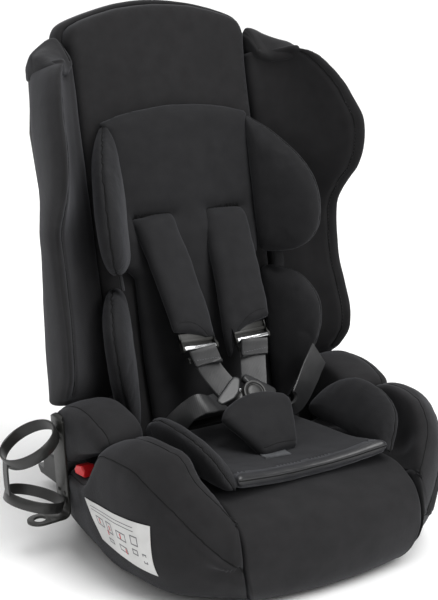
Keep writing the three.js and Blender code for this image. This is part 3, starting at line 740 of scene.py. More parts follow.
# Crest of the belt hook over the wing's top: [x, height of the crest, depth of the crest's front,
# depth of the foot, depth of the rear].
HOOK_CREST = [
    (138.6, 505, -22, -46, -8), (140, 511, -21, -48, -6), (143, 513.5, -21, -50, -4),
    (149, 513.4, -21, -56, -1), (156, 511, -22, -64, 0), (165, 506, -24, -76, -2),
    (174, 501, -28, -85, -5), (182, 496, -33, -88, -8), (188, 491, -38, -78, -14),
    (190.5, 484, -42, -66, -22), (191.8, 473, -44, -58, -28), (191, 461, -44, -54, -34),
]


def belt_hook(hand, mirrored):
    """A padded hook over the wing that keeps the car's shoulder belt in its notch."""
    rows = smooth(HOOK_CREST, 48)
    rings = []
    for x, top, crest, foot, rear in rows:
        low = 462.0 if x > 150 else 462.0 + (150 - x) * 0.9
        rise = top - low
        lip = min(10.0, 0.4 * rise)
        section = [
            (foot + 4, low), (foot, low + 0.45 * lip), (foot + 1.5, low + lip),
            (foot + (crest - foot) * 0.33, low + lip + (rise - lip) * 0.34),
            (foot + (crest - foot) * 0.68, low + lip + (rise - lip) * 0.72),
            (crest - 1, top - 2.4), (crest + 4.5, top), (crest + 10, top - 2),
            (rear - 1, top - 0.42 * rise), (rear, low + 0.3 * rise), (rear - 1, low),
            ((foot + rear) / 2, low - 1),
        ]
        ring = smooth(section, 64, closed=True)
        rings.append(np.column_stack([np.full(64, x), ring]))
    edge = rings[3].copy()
    for end, way in ((0, -1), (-1, 1)):
        ring = rings[end]
        centre = ring.mean(0)
        for grow, step in ((0.95, 1.0), (0.86, 1.8), (0.7, 2.3), (0.3, 2.5)):
            shrunk = centre + (ring - centre) * [1, grow, grow] + [way * step, 0, 0]
            rings.insert(0, shrunk) if end == 0 else rings.append(shrunk)
    rings = [flip(back(r), mirrored) for r in rings]
    obj = put(f"belt_hook_cover_{hand}", Part().grid(rings), [COVER], None, levels=1,
              autosmooth=ALL_SMOOTH)
    relief(obj, 0.7, 30, 7)
    loop = edge[edge[:, 2] > 480]
    steps = np.linalg.norm(np.diff(loop, axis=0), axis=1)
    if steps.max() > 8:
        loop = np.roll(loop, -int(np.argmax(steps)) - 1, axis=0)
    sew_all(obj, Seam(flip(back(loop), mirrored), depth=1.4, width=2.2, radius=0.6))
    upholster(obj, "backrest", "cover_fabric", 0.5, f"shoulder_belt_hook_{hand}")


# ------------------------------------------------------------------ backrest: inlay
INLAY_BACK = [
    (0, 417), (30, 416), (58, 413), (84, 408), (109, 401), (108, 380), (106, 300), (105, 250),
    (101, 213), (92, 208), (86, 200), (87, 120), (85, 20), (82, 8), (60, 6), (0, 6),
]


def inlay_back():
    outline = mirrored_outline(INLAY_BACK, 260)
    place = lambda xy, h: back(np.column_stack([xy[:, 0], -40.5 - h, xy[:, 1]]))
    front = lambda xy, d: dome(d, 14, 11.5) + 5.0 * np.clip(d / 90, 0, 1) ** 0.7
    rear = lambda xy, d: dome(d, 7, 6.0)
    obj = pad("inlay_back_cover", outline, place, front, rear, 4.5, [INLAY])
    relief(obj, 0.9, 45, 11)
    seams = []
    for side in (-1, 1):
        slot = [(side * x, -52, z)
                for x, z in ((28, 276.5), (40, 277.5), (54, 278), (68, 277.5), (80, 276.5))]
        groove(obj, back(catmull(slot)), 8.0, 11.0)
        seams.append(Seam(back(catmull(slot)), depth=4.0, width=3.0, radius=1.0))
    sew_all(obj, *seams)
    for side in (-1, 1):
        for x in np.arange(29, 80, 2.6):
            slant = 1.3 * noise.noise(Vector((x * 0.7, side * 3.0, 0.5)))
            length = 2.4 + 1.6 * noise.noise(Vector((x * 1.9, side * 5.0, 2.5)))
            thread = [(side * (x + slant), -50, 277 + length), (side * x, -50, 277.5),
                      (side * (x - slant), -50, 276)]
            join_into(obj, Part().tube(on_surface(obj, back(thread), 0.3), 0.4, 5), SEAM)
    upholster(obj, "backrest", "inlay_fabric", 0.6, "inlay_back")


def wing_plane(root, mirrored, curl=0.0):
    """Places a bolster's outline [along, height] beside a wing."""
    def place(xy, h):
        a, w = xy[:, 0], xy[:, 1]
        bend = curl * (a / 90) ** 2
        x = root[0] + WING_ALONG[0] * a + WING_INWARD[0] * (h + bend)
        v = root[1] + WING_ALONG[1] * a + WING_INWARD[1] * (h + bend)
        return flip(back(np.column_stack([x, v, w])), mirrored)
    return place


HEAD_BOLSTER = [
    (0, 401), (12, 392), (25, 382), (44, 365), (62, 346), (80, 322), (92, 296), (95, 270),
    (91, 245), (80, 225), (60, 212), (38, 208), (16, 209), (0, 214), (-2, 250), (-2, 330), (-2, 385),
]
TORSO_BOLSTER = [
    (-4, 190), (8, 196), (26, 192), (48, 183), (64, 168), (76, 146), (78, 122), (73, 98),
    (61, 73), (46, 50), (28, 26), (12, 8), (0, 4), (-6, 20), (-6, 90), (-6, 150),
]


def bolster(name, points, root, thick, seed, hand, mirrored):
    """A padded side bolster of the inlay, blown up and sewn round its rim."""
    outline = smooth(points, 150, closed=True)
    place = wing_plane(root, mirrored, 4.0)
    swell = lambda d: dome(d, 26, thick) + 2.0 * np.clip(d / 40, 0, 1)
    obj = pad(f"{name}_cover_{hand}", outline, place, lambda xy, d: swell(d) * 0.94,
              lambda xy, d: swell(d) * 0.9, 4.5, [INLAY])
    inflate(obj)
    relief(obj, 0.8, 40, seed + mirrored)
    rim = place(outline, np.zeros(len(outline)))
    sew_all(obj, Seam(rim, depth=2.4, width=3.0, radius=0.85, closed=True))
    upholster(obj, "backrest", "inlay_fabric", 0.8, f"{name}_{hand}")


def head_bolster(hand, mirrored):
    bolster("head_bolster", HEAD_BOLSTER, (106, -45), 15.5, 21, hand, mirrored)


def torso_bolster(hand, mirrored):
    bolster("torso_bolster", TORSO_BOLSTER, (113, -35), 15.0, 31, hand, mirrored)


def bolster_tab(hand, mirrored):
    """The narrow band that ties a head bolster to the torso bolster below it."""
    path = smooth([(120, -66, 214), (119, -66, 206), (119, -67, 198), (118, -66, 190)], 14)
    rings = []
    for x, v, w in path:
        c = np.array([x, v, w])
        across = np.array([WING_ALONG[0], WING_ALONG[1], 0]) * 7
        deep = np.array([WING_INWARD[0], WING_INWARD[1], 0]) * 2.2
        ring = [c + across * math.cos(t) + deep * math.sin(t)
                for t in turns(16)]
        rings.append(flip(back(ring), mirrored))
    put(f"bolster_tab_{hand}", Part().grid(rings), [INLAY], "backrest")


# ------------------------------------------------------------------ base: seat cushion and arms
PANEL_SIDE = [
    (38, 104), (0, 107), (-60, 112), (-120, 117), (-160, 120.5), (-188, 120), (-208, 116), (-222, 109.5),
    (-235, 101), (-246, 84), (-250.5, 62), (-249.5, 40), (-244, 20), (-232, 6), (-214, 1.5),
]

SEAT_HALF = 130.5


def seat_cushion():
    top = smooth(PANEL_SIDE, 90)
    rings = []
    across = np.linspace(-1, 1, 61)
    for t in across:
        drawn = 12.5 * t * t
        edge = max(abs(t) - 0.955, 0) / 0.045
        tuck = 2.6 * edge**2
        line = top.copy()
        normal = np.column_stack([np.gradient(line[:, 1]), -np.gradient(line[:, 0])])
        normal /= np.linalg.norm(normal, axis=1, keepdims=True)
        line = line + normal * tuck * np.where(normal[:, 1:2] < 0, 1, -1)
        y = line[:, 0] + drawn * np.clip((-165 - line[:, 0]) / 50, 0, 1)
        under = [(-205, 4), (-222, 30), (-232, 60), (-222, 90), (-200, 96), (-100, 92), (30, 90)]
        ring = np.vstack([np.column_stack([y, line[:, 1]]), under])
        front = ring[:, 0] < -195
        narrowed = np.interp(ring[:, 1], [0, 8, 20, 38, 58], [105, 112, 119, 126, SEAT_HALF])
        half = np.where(front, narrowed, SEAT_HALF)
        rings.append(np.column_stack([half * t, ring]))
    obj = put("seat_cover", Part().grid(rings), [COVER], None, levels=1, autosmooth=60)
    relief(obj, 1.0, 80, 41)
    upholster(obj, "base", "cover_fabric", 0.8, "seat_cushion")


PANEL_EDGE = 130.6  # the arms' inner sides meet the seat panel's edge here
KNOB_FOOT = 174.0  # further back they stop at the knobs
BAY_SIDE = 162.0  # and low down they clear the connectors' bays


# Arm sections from the rear to the front seam. Each row holds the base outline [x, y], the way
# out from it in degrees, the outer seam [x, y, z] and the inner seam [x, y, z].
ARM_ROWS = [
    (190, 117, 34, (184, 113, 99), (171, 104, 103)),
    (206, 86, 14, (203, 85, 101), (186, 81, 106)),
    (214, 40, 6, (212, 40, 101), (192, 38, 106)),
    (220, -6, 3, (218, -7, 103), (190, -9, 107)),
    (223, -28, 2, (221, -28, 110), (188, -30, 116)),
    (224, -44, 2, (221, -44, 132), (187, -46, 139)),
    (224, -62, 1, (220, -62, 155), (186, -66, 166)),
    (224, -88, 0, (222, -88, 162), (185, -91, 181)),
    (223, -112, -3, (221.5, -112, 164), (184, -118, 186.5)),
    (220, -140, -12, (218, -141, 162.5), (180, -150, 186)),
    (213, -166, -24, (208, -173, 144), (174, -176, 181)),
    (202, -186, -36, (193, -197, 123), (168, -197, 159)),
    (184, -206, -50, (178, -210, 103), (151, -213, 137)),
    (160, -225, -66, (159, -223, 81), (138, -221, 121)),
    (142, -235, -77, (142, -232.5, 65), (132.5, -226, 113)),
]

# The seam where an arm meets the front panel, from the bottom up, and the way back inside.
ARM_END = [
    (106, -201, 0.8), (115, -220, 12), (125.5, -234, 33), (129, -237.2, 45), (130.2, -238, 50),
    (130.7, -238.2, 54), (131, -238, 57), (131.5, -236.8, 71), (131.7, -234, 86), (131.7, -230, 99),
    (131.5, -226, 109.5), (131.3, -219, 113.5), (131.2, -210, 114), (131, -200, 108), (131, -195, 98),
    (131, -190, 80), (131, -190, 40), (120, -186, 2),
]


def arm_ring(x, y, angle, b, a):
    """One ring of an arm: its base outline's point, the way out and its two seams."""
    turn = math.radians(angle)
    out = np.array([math.cos(turn), math.sin(turn), 0])
    a, b = np.array(a, float), np.array(b, float)
    up = np.array([0, 0, 1.0])
    at = lambda n, z: np.array([x, y, 0]) + out * n + up * z
    crest = (a + b) / 2 + up * (5 if a[2] > 130 else 3) + out * 2
    near_b = b + (crest - b) * 0.4 + up * 1.5
    near_a = a + (crest - a) * 0.4 + up * 1.5
    top = max(b[2] - 14, 60) if b[2] < 104 else 96
    foot_x = max(PANEL_EDGE, x - 80) if y < 30 else KNOB_FOOT
    run = (x - foot_x) / max(math.cos(turn), 0.35)
    inner_z = min(0.1 * a[2] + 95, a[2] - 7)
    foot = at(-min(run, 80), inner_z)
    foot[0] = max(foot[0], PANEL_EDGE if y < 30 else KNOB_FOOT)
    below = foot.copy()
    below[2] = 90
    shelf = a - out * 13 * np.clip((a[2] - 112) / 30, 0, 1) - up * 2.5
    mid = shelf + (foot - shelf) * [0.35, 0.35, 0.62]
    under = at(-34, 88)
    under[0] = max(under[0], PANEL_EDGE)
    fore = float(np.clip((-y - 60) / 100, 0, 1))
    low = at(-45 - 10 * fore, 45)
    low[0] = max(low[0], BAY_SIDE if y > 30 else PANEL_EDGE)
    bottom = at(-58 - 16 * fore, 1.5)
    bottom[0] = max(bottom[0], BAY_SIDE if y > 30 else 112)
    side = b + (at(0.5, top) - b) * 0.5 + out * 1.5
    ring = [
        at(-37 - 20 * fore, 1.2), at(-25 - 6 * fore, 13), at(-11.5 - 2.5 * fore, 36), at(-5, 60),
        at(-0.5, top * 0.96), side, b,
        near_b, crest, near_a, a, shelf, mid, foot, below, under, low, bottom,
    ]
    return smooth(ring, 96, closed=True)


def arm(hand, mirrored):
    rows = smooth([[*place, *outer, *inner] for *place, outer, inner in ARM_ROWS], 96)
    rings = [arm_ring(*r[:3], r[3:6], r[6:9]) for r in rows]
    first, last = rings[0], smooth(ARM_END, 96, closed=True)
    centre = first.mean(0)
    for grow, step in ((0.97, 2.5), (0.88, 4.5), (0.6, 5.5), (0.2, 5.8)):
        rings.insert(0, centre + (first - centre) * grow + [-step * 0.3, step, 0])
    before = rings[-1]
    for t in (0.35, 0.7, 1.0):
        rings.append(before + (last - before) * t)
    centre = last.mean(0)
    for grow in (0.9, 0.6, 0.2):
        rings.append(centre + (last - centre) * grow)
    rings = [flip(r, mirrored) for r in rings]
    obj = put(f"arm_cover_{hand}", Part().grid(rings), [COVER], None, autosmooth=ALL_SMOOTH)
    relief(obj, 1.0, 70, 51 + mirrored)
    seam_b = flip([*[r[3:6] for r in rows[2:-1]], ARM_END[6]], mirrored)
    seam_a = flip([*[r[6:9] for r in rows[34:-1]], ARM_END[10]], mirrored)
    sew_all(
        obj,
        Seam(resample(seam_b, 160), depth=1.8, width=3.4),
        Seam(resample(seam_a, 120), depth=1.8, width=3.4),
    )
    upholster(obj, "base", "cover_fabric", 0.9, f"arm_cushion_{hand}")


KNOB = [
    (66, 130), (67, 160), (61, 176), (46, 186.5), (24, 194.5), (-6, 195), (-34, 189.5), (-56, 179),
    (-62, 167), (-53, 156), (-34, 147), (-8, 138), (10, 128), (26, 117), (42, 113), (58, 116),
]


def knob(hand, mirrored):
    side = smooth(KNOB, 96, closed=True)
    centre = side.mean(0)
    steps = [
        (149.8, 0.15), (150, 0.55), (150.8, 0.74), (154, 0.86), (160, 0.93), (170, 0.98),
        (184, 0.995), (192, 1.0),
        (200, 1.0), (207, 0.995), (212, 0.975), (216, 0.93), (218.6, 0.84), (220, 0.68), (220.4, 0.4),
        (220.5, 0.12),
    ]
    rings = []
    for x, grow in steps:
        ring = centre + (side - centre) * grow
        drop = 5.0 * np.clip((x - 195) / 25, 0, 1)
        high = (ring[:, 1] > 150) * (ring[:, 1] - 150) / 36
        ring = np.column_stack([np.full(96, x), ring[:, 0], ring[:, 1] - drop * high])
        rings.append(flip(ring, mirrored))
    obj = put(f"knob_cover_{hand}", Part().grid(rings), [COVER], None, levels=1, autosmooth=ALL_SMOOTH)
    relief(obj, 1.2, 40, 61 + mirrored)
    seam = smooth([
        (212, 62, 170), (211, 46, 186), (209, 20, 193), (208, -10, 192), (207, -38, 185),
        (205, -56, 176), (204, -61, 166), (206, -50, 155), (208, -30, 147),
    ], 60)
    sew_all(obj, Seam(flip(seam, mirrored), depth=1.6, width=2.8))
    upholster(obj, "base", "cover_fabric", 0.8, f"arm_knob_{hand}")


# ------------------------------------------------------------------ base: inlay
INLAY_SEAT = [
    (0, -186), (40, -187.5), (78, -190), (103, -192.5), (109, -193), (108.5, -186), (107, -120),
    (103, -40), (98, 8), (90, 15), (0, 16),
]


SEAT_CURL = 9.0  # how far the inlay's front corners stand above its middle


def inlay_seat():
    outline = mirrored_outline(INLAY_SEAT, 260)
    def rise(x, y):
        """The height of the inlay's seam: its front lifts, most of all at the corners."""
        lift = np.clip((-y - 110) / 76, 0, 1) ** 1.6
        return 125.5 + 10.0 * lift + SEAT_CURL * (x / 109) ** 2 * np.clip((-y - 20) / 160, 0, 1)

    place = lambda xy, h: np.column_stack([xy[:, 0], xy[:, 1], h + rise(xy[:, 0], xy[:, 1])])
    front = lambda xy, d: dome(d, 15, 8.0) + 1.0 * np.clip(d / 60, 0, 1)
    rear = lambda xy, d: dome(d, 14, 12.0)
    obj = pad("inlay_seat_cover", outline, place, front, rear, 5.0, [INLAY, SATIN])
    relief(obj, 0.9, 45, 71)
    for p in obj.data.polygons:
        c = p.center / MM
        if c.y < -174.5 + 5.5 * (1 - (c.x / 108) ** 2):
            p.material_index = 1
    rim = outline[(outline[:, 1] < -185) & (np.abs(outline[:, 0]) < 108)]
    rim = rim[np.argsort(rim[:, 0])]
    edge = np.column_stack([rim, rise(rim[:, 0], rim[:, 1])])
    fold = edge + [0, 16, 8.0]
    sew_all(
        obj,
        Seam(edge, depth=1.6, width=2.2, radius=0.8, lift=0.0),
        Seam(fold, depth=0.7, width=2.0, radius=0.4, material=SATIN),
    )
    upholster(obj, "base", "inlay_fabric", 0.5, "inlay_seat")


HIP = [
    (-194, 1), (-190, 12), (-185, 30), (-176, 46), (-158, 59), (-130, 67), (-100, 70), (-72, 65),
    (-48, 53), (-28, 34), (-16, 14), (-14, 2), (-22, -4), (-80, -5), (-130, -5), (-170, -4),
]
HIP_LEAN = math.radians(28)


def hip_bolster(hand, mirrored):
    outline = smooth(HIP, 150, closed=True)
    c, s = math.cos(HIP_LEAN), math.sin(HIP_LEAN)

    def place(xy, h):
        up, y = xy[:, 1], xy[:, 0]
        root = 112.5 + 6 * np.clip((y + 190) / 150, 0, 1)
        x = root + up * s - h * c
        z = 134 + up * c + h * s
        return flip(np.column_stack([x, y, z]), mirrored)

    swell = lambda xy, d: dome(d, 24, 13.0) + 2.0 * np.clip(d / 40, 0, 1)
    obj = pad(f"hip_bolster_cover_{hand}", outline, place, swell, lambda xy, d: 0.85 * swell(xy, d),
              4.5, [INLAY, SATIN])
    inflate(obj)
    relief(obj, 0.8, 40, 81 + mirrored)
    rim = place(outline, np.zeros(len(outline)))
    sew_all(obj, Seam(rim, depth=2.0, width=2.8, radius=0.85, closed=True))
    upholster(obj, "base", "inlay_fabric", 0.8, f"hip_bolster_{hand}")


# ------------------------------------------------------------------ harness
def shoulder_pad(hand, mirrored):
    """A folded sleeve of padded cloth round the strap. Its inner lower corner is longer and curls."""
    top_out, top_in = np.array([85, 97, 396.5]), np.array([23, 106, 400.5])
    low_out, low_in = np.array([71, 15, 263.0]), np.array([5, 8, 219.0])
    wide, length, outer_end = 68.0, 200.0, 0.76
    outline = smooth([
        (0.03, 0.0), (0.5, 0.0), (0.97, 0.0), (1.0, 0.03), (1.0, 0.3), (1.0, 0.6), (1.0, 0.93),
        (0.965, 0.99), (0.9, 0.965), (0.8, 0.885), (0.62, 0.83), (0.35, 0.79), (0.06, 0.765), (0, 0.74),
        (0.0, 0.5), (0.0, 0.25), (0.0, 0.03),
    ], 220, closed=True)
    field = outline * [wide, length]
    side = (top_in - top_out) / np.linalg.norm(top_in - top_out)
    down = (low_in - top_in) / np.linalg.norm(low_in - top_in)
    normal = np.cross(side, down)
    normal /= np.linalg.norm(normal)
    if normal[1] > 0:
        normal = -normal

    def place(xy, h):
        s, t = xy[:, 0] / wide, xy[:, 1] / length
        left = top_out + (low_out - top_out) / outer_end * t[:, None]
        right = top_in + (low_in - top_in) * t[:, None]
        p = left + (right - left) * s[:, None]
        bow = 4.0 * np.sin(math.pi * np.clip(t / 0.9, 0, 1)) + 3.0 * np.cos((s - 0.5) * math.pi)
        curl = np.clip((t - 0.8) / 0.2, 0, 1) ** 2 * np.clip((s - 0.35) / 0.65, 0, 1)
        dive = np.clip((0.09 - t) / 0.09, 0, 1) ** 2
        p = p + normal * (h + bow - 8 * curl - 12 * dive)[:, None]
        p = p + np.array([5.0, 0, 0]) * curl[:, None]
        return flip(p, mirrored)

    swell = lambda xy, d: dome(d, 12, 10.0) + 1.5 * np.clip(d / 28, 0, 1)
    obj = pad(f"shoulder_pad_cover_{hand}", field, place, swell, lambda xy, d: dome(d, 8, 7.0), 4.0,
              [INLAY])
    relief(obj, 1.2, 32, 91 + mirrored)
    hem = place(np.array([(0.035 * wide + 0.93 * wide * s, length * (0.715 + 0.245 * s ** 2.6))
                          for s in np.linspace(0.05, 0.97, 30)]), np.full(30, 9.0))
    sew_all(obj, Seam(hem, depth=1.3, width=2.2, radius=0.5))
    upholster(obj, "backrest", "inlay_fabric", 0.5, f"shoulder_pad_{hand}")


def strap_rings(path, across, width, thick):
    """Rings of a flat strap with rounded selvedges along a path."""
    rings = []
    n = len(path)
    for i in range(n):
        ahead = path[min(i + 1, n - 1)] - path[max(i - 1, 0)]
        ahead /= np.linalg.norm(ahead)
        side = across[i] - ahead * np.dot(across[i], ahead)
        side /= np.linalg.norm(side)
        face = np.cross(ahead, side)
        w, t = width / 2, thick / 2
        section = [(-w, 0), (-w + 0.8, t * 1.25), (-w + 2.2, t), (-w / 3, t), (w / 3, t), (w - 2.2, t),
                   (w - 0.8, t * 1.25), (w, 0), (w - 0.8, -t * 1.25), (w - 2.2, -t), (w / 3, -t),
                   (-w / 3, -t), (-w + 2.2, -t), (-w + 0.8, -t * 1.25)]
        rings.append([path[i] + side * a + face * b for a, b in section])
    return rings


def strap(name, points, across, width, body, mirrored, stands_for=(), n=60, thick=1.5, material=WEBBING):
    path = smooth(points, n)
    across = np.asarray(across, float)
    if len(across) > 1:
        wide = smooth(across + np.linspace(0, 1e-4, len(across))[:, None], n)  # no two alike
    else:
        wide = np.repeat(across, n, 0)
    rings = [flip(r, mirrored) for r in strap_rings(path, wide, width, thick)]
    return put(name, Part().grid(rings), [material], body, stands_for)


def harness(hand, mirrored):
    lower = [(54, 92, 388), (47, 62, 330), (40, 20, 256), (38.5, 12, 247)]
    strap(f"shoulder_webbing_{hand}",
          [*back([(54, 22, 274), (54, 0, 274), (54, -36, 274), (54, -46, 273)]).tolist(), *lower],
          [(1, 0, 0)], 38, "backrest", mirrored, (f"shoulder_strap_{hand}",), 70)


def webbing_below(hand, mirrored):
    """From the adjuster to the tongue, with the loose end sewn back on itself."""
    path = [(38.5, 5, 244), (37, 0, 234), (33.5, -7, 221), (30, -13, 212), (25, -22, 202),
            (19.5, -31, 192.5)]
    across = [(1, 0, 0.02), (1, 0, 0.02), (1, -0.05, -0.05), (0.95, -0.2, -0.2), (0.8, -0.42, -0.42),
              (0.63, -0.53, -0.57)]
    obj = strap(f"lower_webbing_{hand}", path, across, 36, None, mirrored, (), 50)
    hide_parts(f"lower_strap_{hand}")
    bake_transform(obj)
    tail = [(39, -1.5, 243), (38.5, -3.5, 240), (37, -6, 234), (35.2, -9, 227), (34.8, -10, 224.5),
            (34.6, -8.8, 223.6), (34.6, -7.2, 225.5)]
    piece = strap(f"strap_tail_{hand}", tail, [(1, 0.0, 0.03)], 39, "backrest", mirrored, (), 44, 1.6)
    row = flip([(x, -9, 230 + 0.03 * (x - 35)) for x in np.linspace(19, 53, 14)], mirrored)
    stitches(piece, row, 2.0, 1.6, 0.4, LIGHT_THREAD)


def adjuster(hand, mirrored):
    """Pressed side plates, a dark back plate and a bright bar that the webbing turns round."""
    inner, outer = np.array([16.5, 4.5, 241.8]), np.array([62.5, 4.5, 243.4])
    side = (outer - inner) / np.linalg.norm(outer - inner)
    up = np.array([0.0, 0.34, 0.94])
    out = np.cross(up, side)
    out /= np.linalg.norm(out) * (1 if out[1] < 0 else -1)
    centre = (inner + outer) / 2
    at = lambda a, b, c: centre + side * a + out * b + up * c
    frame_part = Part()
    for s in (-1, 1):
        plate = [(-3.5, 19), (-6, 19), (-6, 12), (1.5, 5), (4.2, 2), (4.2, -2.5), (1, -4.5), (-4, -4.5)]
        ring = lambda a: [at(s * a, d, z) for d, z in plate]
        frame_part.grid([ring(23.2), ring(24.0), ring(25.0), ring(25.8)])
    frame_part.grid([[at(a, b, z) for a, b in ((-25, -6), (-25, -4.4), (25, -4.4), (25, -6))]
                     for z in (19, 10, 2)])
    frame_part.grid([[at(a, b, z) for a, b in ((-23.5, -4.4), (-23.5, -1.5), (23.5, -1.5), (23.5, -4.4))]
                     for z in (11, 9.2, 7.5)])
    frame_part.v = flip(frame_part.v, mirrored).tolist()
    obj = put(f"adjuster_side_plates_{hand}", frame_part, [BLACK_STEEL], "backrest",
              (f"adjuster_frame_{hand}",))
    bevel(obj, 0.4)
    bar = Part()
    rings = []
    for a in np.linspace(-24.6, 24.6, 27):
        t = abs(a) / 24.6
        r = 3.7 * math.sqrt(max(1 - max(t - 0.9, 0) ** 2 / 0.0105, 0.03))
        p = at(a, 1.6 - 1.2 * t**4, 0)
        rings.append([p + out * r * math.cos(q) * 0.9 + up * r * math.sin(q)
                      for q in turns(20)])
    bar.grid([flip(r, mirrored) for r in rings])
    put(f"adjuster_bright_bar_{hand}", bar, [CHROME], "backrest", (f"adjuster_bar_{hand}",))


def bevel_modifier(obj, width, angle):
    mod = obj.modifiers.new("edge", "BEVEL")
    mod.width = width * MM
    mod.segments = 2
    mod.limit_method = "ANGLE"
    mod.angle_limit = math.radians(angle)
    return mod


def bevel(obj, width):
    """Eases a made piece's edges for good."""
    bevel_modifier(obj, width, 35)
    apply_modifiers(obj)
    shade(obj, 35)


# ------------------------------------------------------------------ buckle
BUCKLE_LEAN = math.radians(38)


def crotch(points):
    """Points in the buckle's frame, which leans back, put in the row frame."""
    p = np.asarray(points, float).reshape(-1, 3)
    c, s = math.cos(BUCKLE_LEAN), math.sin(BUCKLE_LEAN)
    return np.column_stack([p[:, 0], -116 + p[:, 1] * c + p[:, 2] * s, 134.5 - p[:, 1] * s + p[:, 2] * c])


# The crotch pad's outline as it lies, turned a little to the child's right: [x, height].
CROTCH_PAD = [
    (-23, 1.5), (0, 4), (22, 4.5), (26, 9), (34, 33), (40.5, 60), (38.5, 69), (30, 76), (-5, 82.5),
    (-32, 79.5), (-52, 70.5), (-61, 60), (-59, 51), (-46, 33), (-31, 8),
]


def crotch_pad():
    outline = smooth(CROTCH_PAD, 190, closed=True)
    place = lambda xy, h: crotch(np.column_stack([
        xy[:, 0], -h - 4.0 * np.cos((xy[:, 0] + 10) / 50 * 1.4) + 1, xy[:, 1] - 5]))
    swell = lambda xy, d: dome(d, 9, 8.5) + 1.5 * np.clip(d / 30, 0, 1)
    obj = pad("crotch_pad_cover", outline, place, swell, lambda xy, d: dome(d, 7, 7.0), 4.0, [INLAY])
    relief(obj, 1.2, 30, 101)
    hem = smooth([(-25, -12, 5), (-8, -13, 7), (10, -13, 7), (24, -12, 6)], 30)
    sew_all(obj, Seam(crotch(hem), depth=1.2, width=2.0, radius=0.5))
    upholster(obj, "base", "inlay_fabric", 0.6, "crotch_pad")


def buckle():
    """A moulded shell that narrows to the strap, with a raised rim round the tongue slot."""
    outline = smooth([(-17, 24), (0, 23), (19, 24), (23, 32), (25.5, 48), (26.5, 66), (26, 80), (21, 89.5),
                      (4, 93.5), (-14, 89.5), (-22, 80), (-25, 66), (-24.5, 48), (-21, 32)], 110, True)
    place = lambda xy, h: crotch(np.column_stack([xy[:, 0], 24 - h, xy[:, 1]]))
    part = pillow(outline, place, lambda xy, d: dome(d, 6, 9.0) + 0.8 * np.clip(d / 15, 0, 1),
                  lambda xy, d: dome(d, 6, 10.0), 3.0)
    put("buckle_shell", part, [DARK], "base", ("buckle_housing",), autosmooth=ALL_SMOOTH)
    cap = Part()
    ring = lambda r, y: crotch([(4 + 0.9 * r * math.cos(t), y, 82 + 0.9 * r * math.sin(t))
                                for t in turns(48)])
    cap.grid([ring(r, y) for r, y in (
        (18.2, 18), (18.2, 11), (17.4, 9.6), (15.6, 9.2), (14.2, 9.8), (13.6, 11.2), (12.6, 11.4),
        (11.8, 10.2), (10.4, 9.4), (6, 9.0), (1.0, 8.9))])
    put("buckle_cap", cap, [DARK], "base")


def tongue(hand, mirrored):
    """A steel blade in a moulded grip with a slot for the webbing."""
    inner, outer = np.array([3.5, -28.5, 203.5]), np.array([42.0, -45.5, 180.5])
    along = (outer - inner) / np.linalg.norm(outer - inner)
    down = np.array([-0.05, -0.80, -0.6])
    down = down - along * np.dot(down, along)
    down /= np.linalg.norm(down)
    face = np.cross(along, down)
    half = np.linalg.norm(outer - inner) / 2
    centre = (inner + outer) / 2
    outline = smooth([(-half, -3), (-half + 4, -6.5), (0, -7), (half - 4, -6.5), (half, -3), (half, 3),
                      (half - 6, 7), (7, 12), (0, 12.5), (-7, 12), (-half + 6, 7), (-half, 3)], 110, True)
    place = lambda xy, h: flip(centre + along * xy[:, :1] + down * xy[:, 1:] + face * h[:, None], mirrored)
    half_thick = lambda xy, d: dome(d, 2.5, 4.2)
    part = pillow(outline, place, half_thick, half_thick, 2.5)
    put(f"tongue_grip_{hand}", part, [GREY_GRIP], "base", (f"buckle_tongue_{hand}",),
        autosmooth=ALL_SMOOTH)
    blade = Part()
    rect = lambda z, w: [(10.5 - w, 21.4, z), (10.5 + w, 21.4, z), (10.5 + w, 24, z), (10.5 - w, 24, z)]
    blade.grid([flip(crotch(rect(z, w)), mirrored) for z, w in ((94, 6.5), (84, 6.5), (78, 5.5))])
    put(f"tongue_blade_{hand}", blade, [STEEL], "base")


def crotch_webbing():
    tail = smooth([(-8, -104, 140), (-10, -114, 136.6), (-12, -122, 136.2), (-14, -130, 137),
                   (-15, -137, 138)], 30)
    strap("crotch_strap_end", tail, [(1, -0.12, 0)], 35, "base", False, (), 30, 1.6, GREY_WEB)
    up = [(0, -80, 8), (0, -80, 60), (0, -80, 118), (0, -80.5, 131), (0, -82, 137), (0, -82, 142)]
    strap("crotch_webbing", up, [(1, 0, 0)], 30, "base", False, ("crotch_strap",), 60)


def lap_webbing(hand, mirrored):
    """From a tongue to the hip. On the child's left it rises beside its bolster."""
    path = [(37, -42, 183.5), (46, -45, 184), (57, -47, 186), (69, -45, 186.5), (81, -39, 179),
            (91, -31, 165), (99, -23, 149), (104, -15, 135)]
    wide = [(0.5, 0.4, 0.3), (0.35, 0.7, 0.45), (0.1, 0.8, 0.5), (0.05, 0.8, 0.55), (0.3, 0.7, 0.5),
            (0.45, 0.6, 0.45), (0.4, 0.6, 0.3), (0.3, 0.7, 0.2)]
    if not mirrored:
        path = [(40, -42, 182), (48, -47, 173), (59, -50, 165), (71, -49, 163.5), (86, -43, 173),
                (104, -32, 187), (122, -20, 200), (138, -8, 208)]
        wide = [(0.5, 0.4, -0.3), (0.6, 0.1, -0.6), (0.69, 0, -0.72), (0.69, 0, -0.72), (0.7, 0, -0.7),
                (0.75, 0, -0.66), (0.8, 0.1, -0.6), (0.85, 0.2, -0.5)]
    strap(f"lap_webbing_{hand}", path, wide, 30 if mirrored else 35, "base", mirrored,
          (f"lap_strap_{hand}",), 70)


# ------------------------------------------------------------------ cup holder
CUP_TILT = math.radians(3)


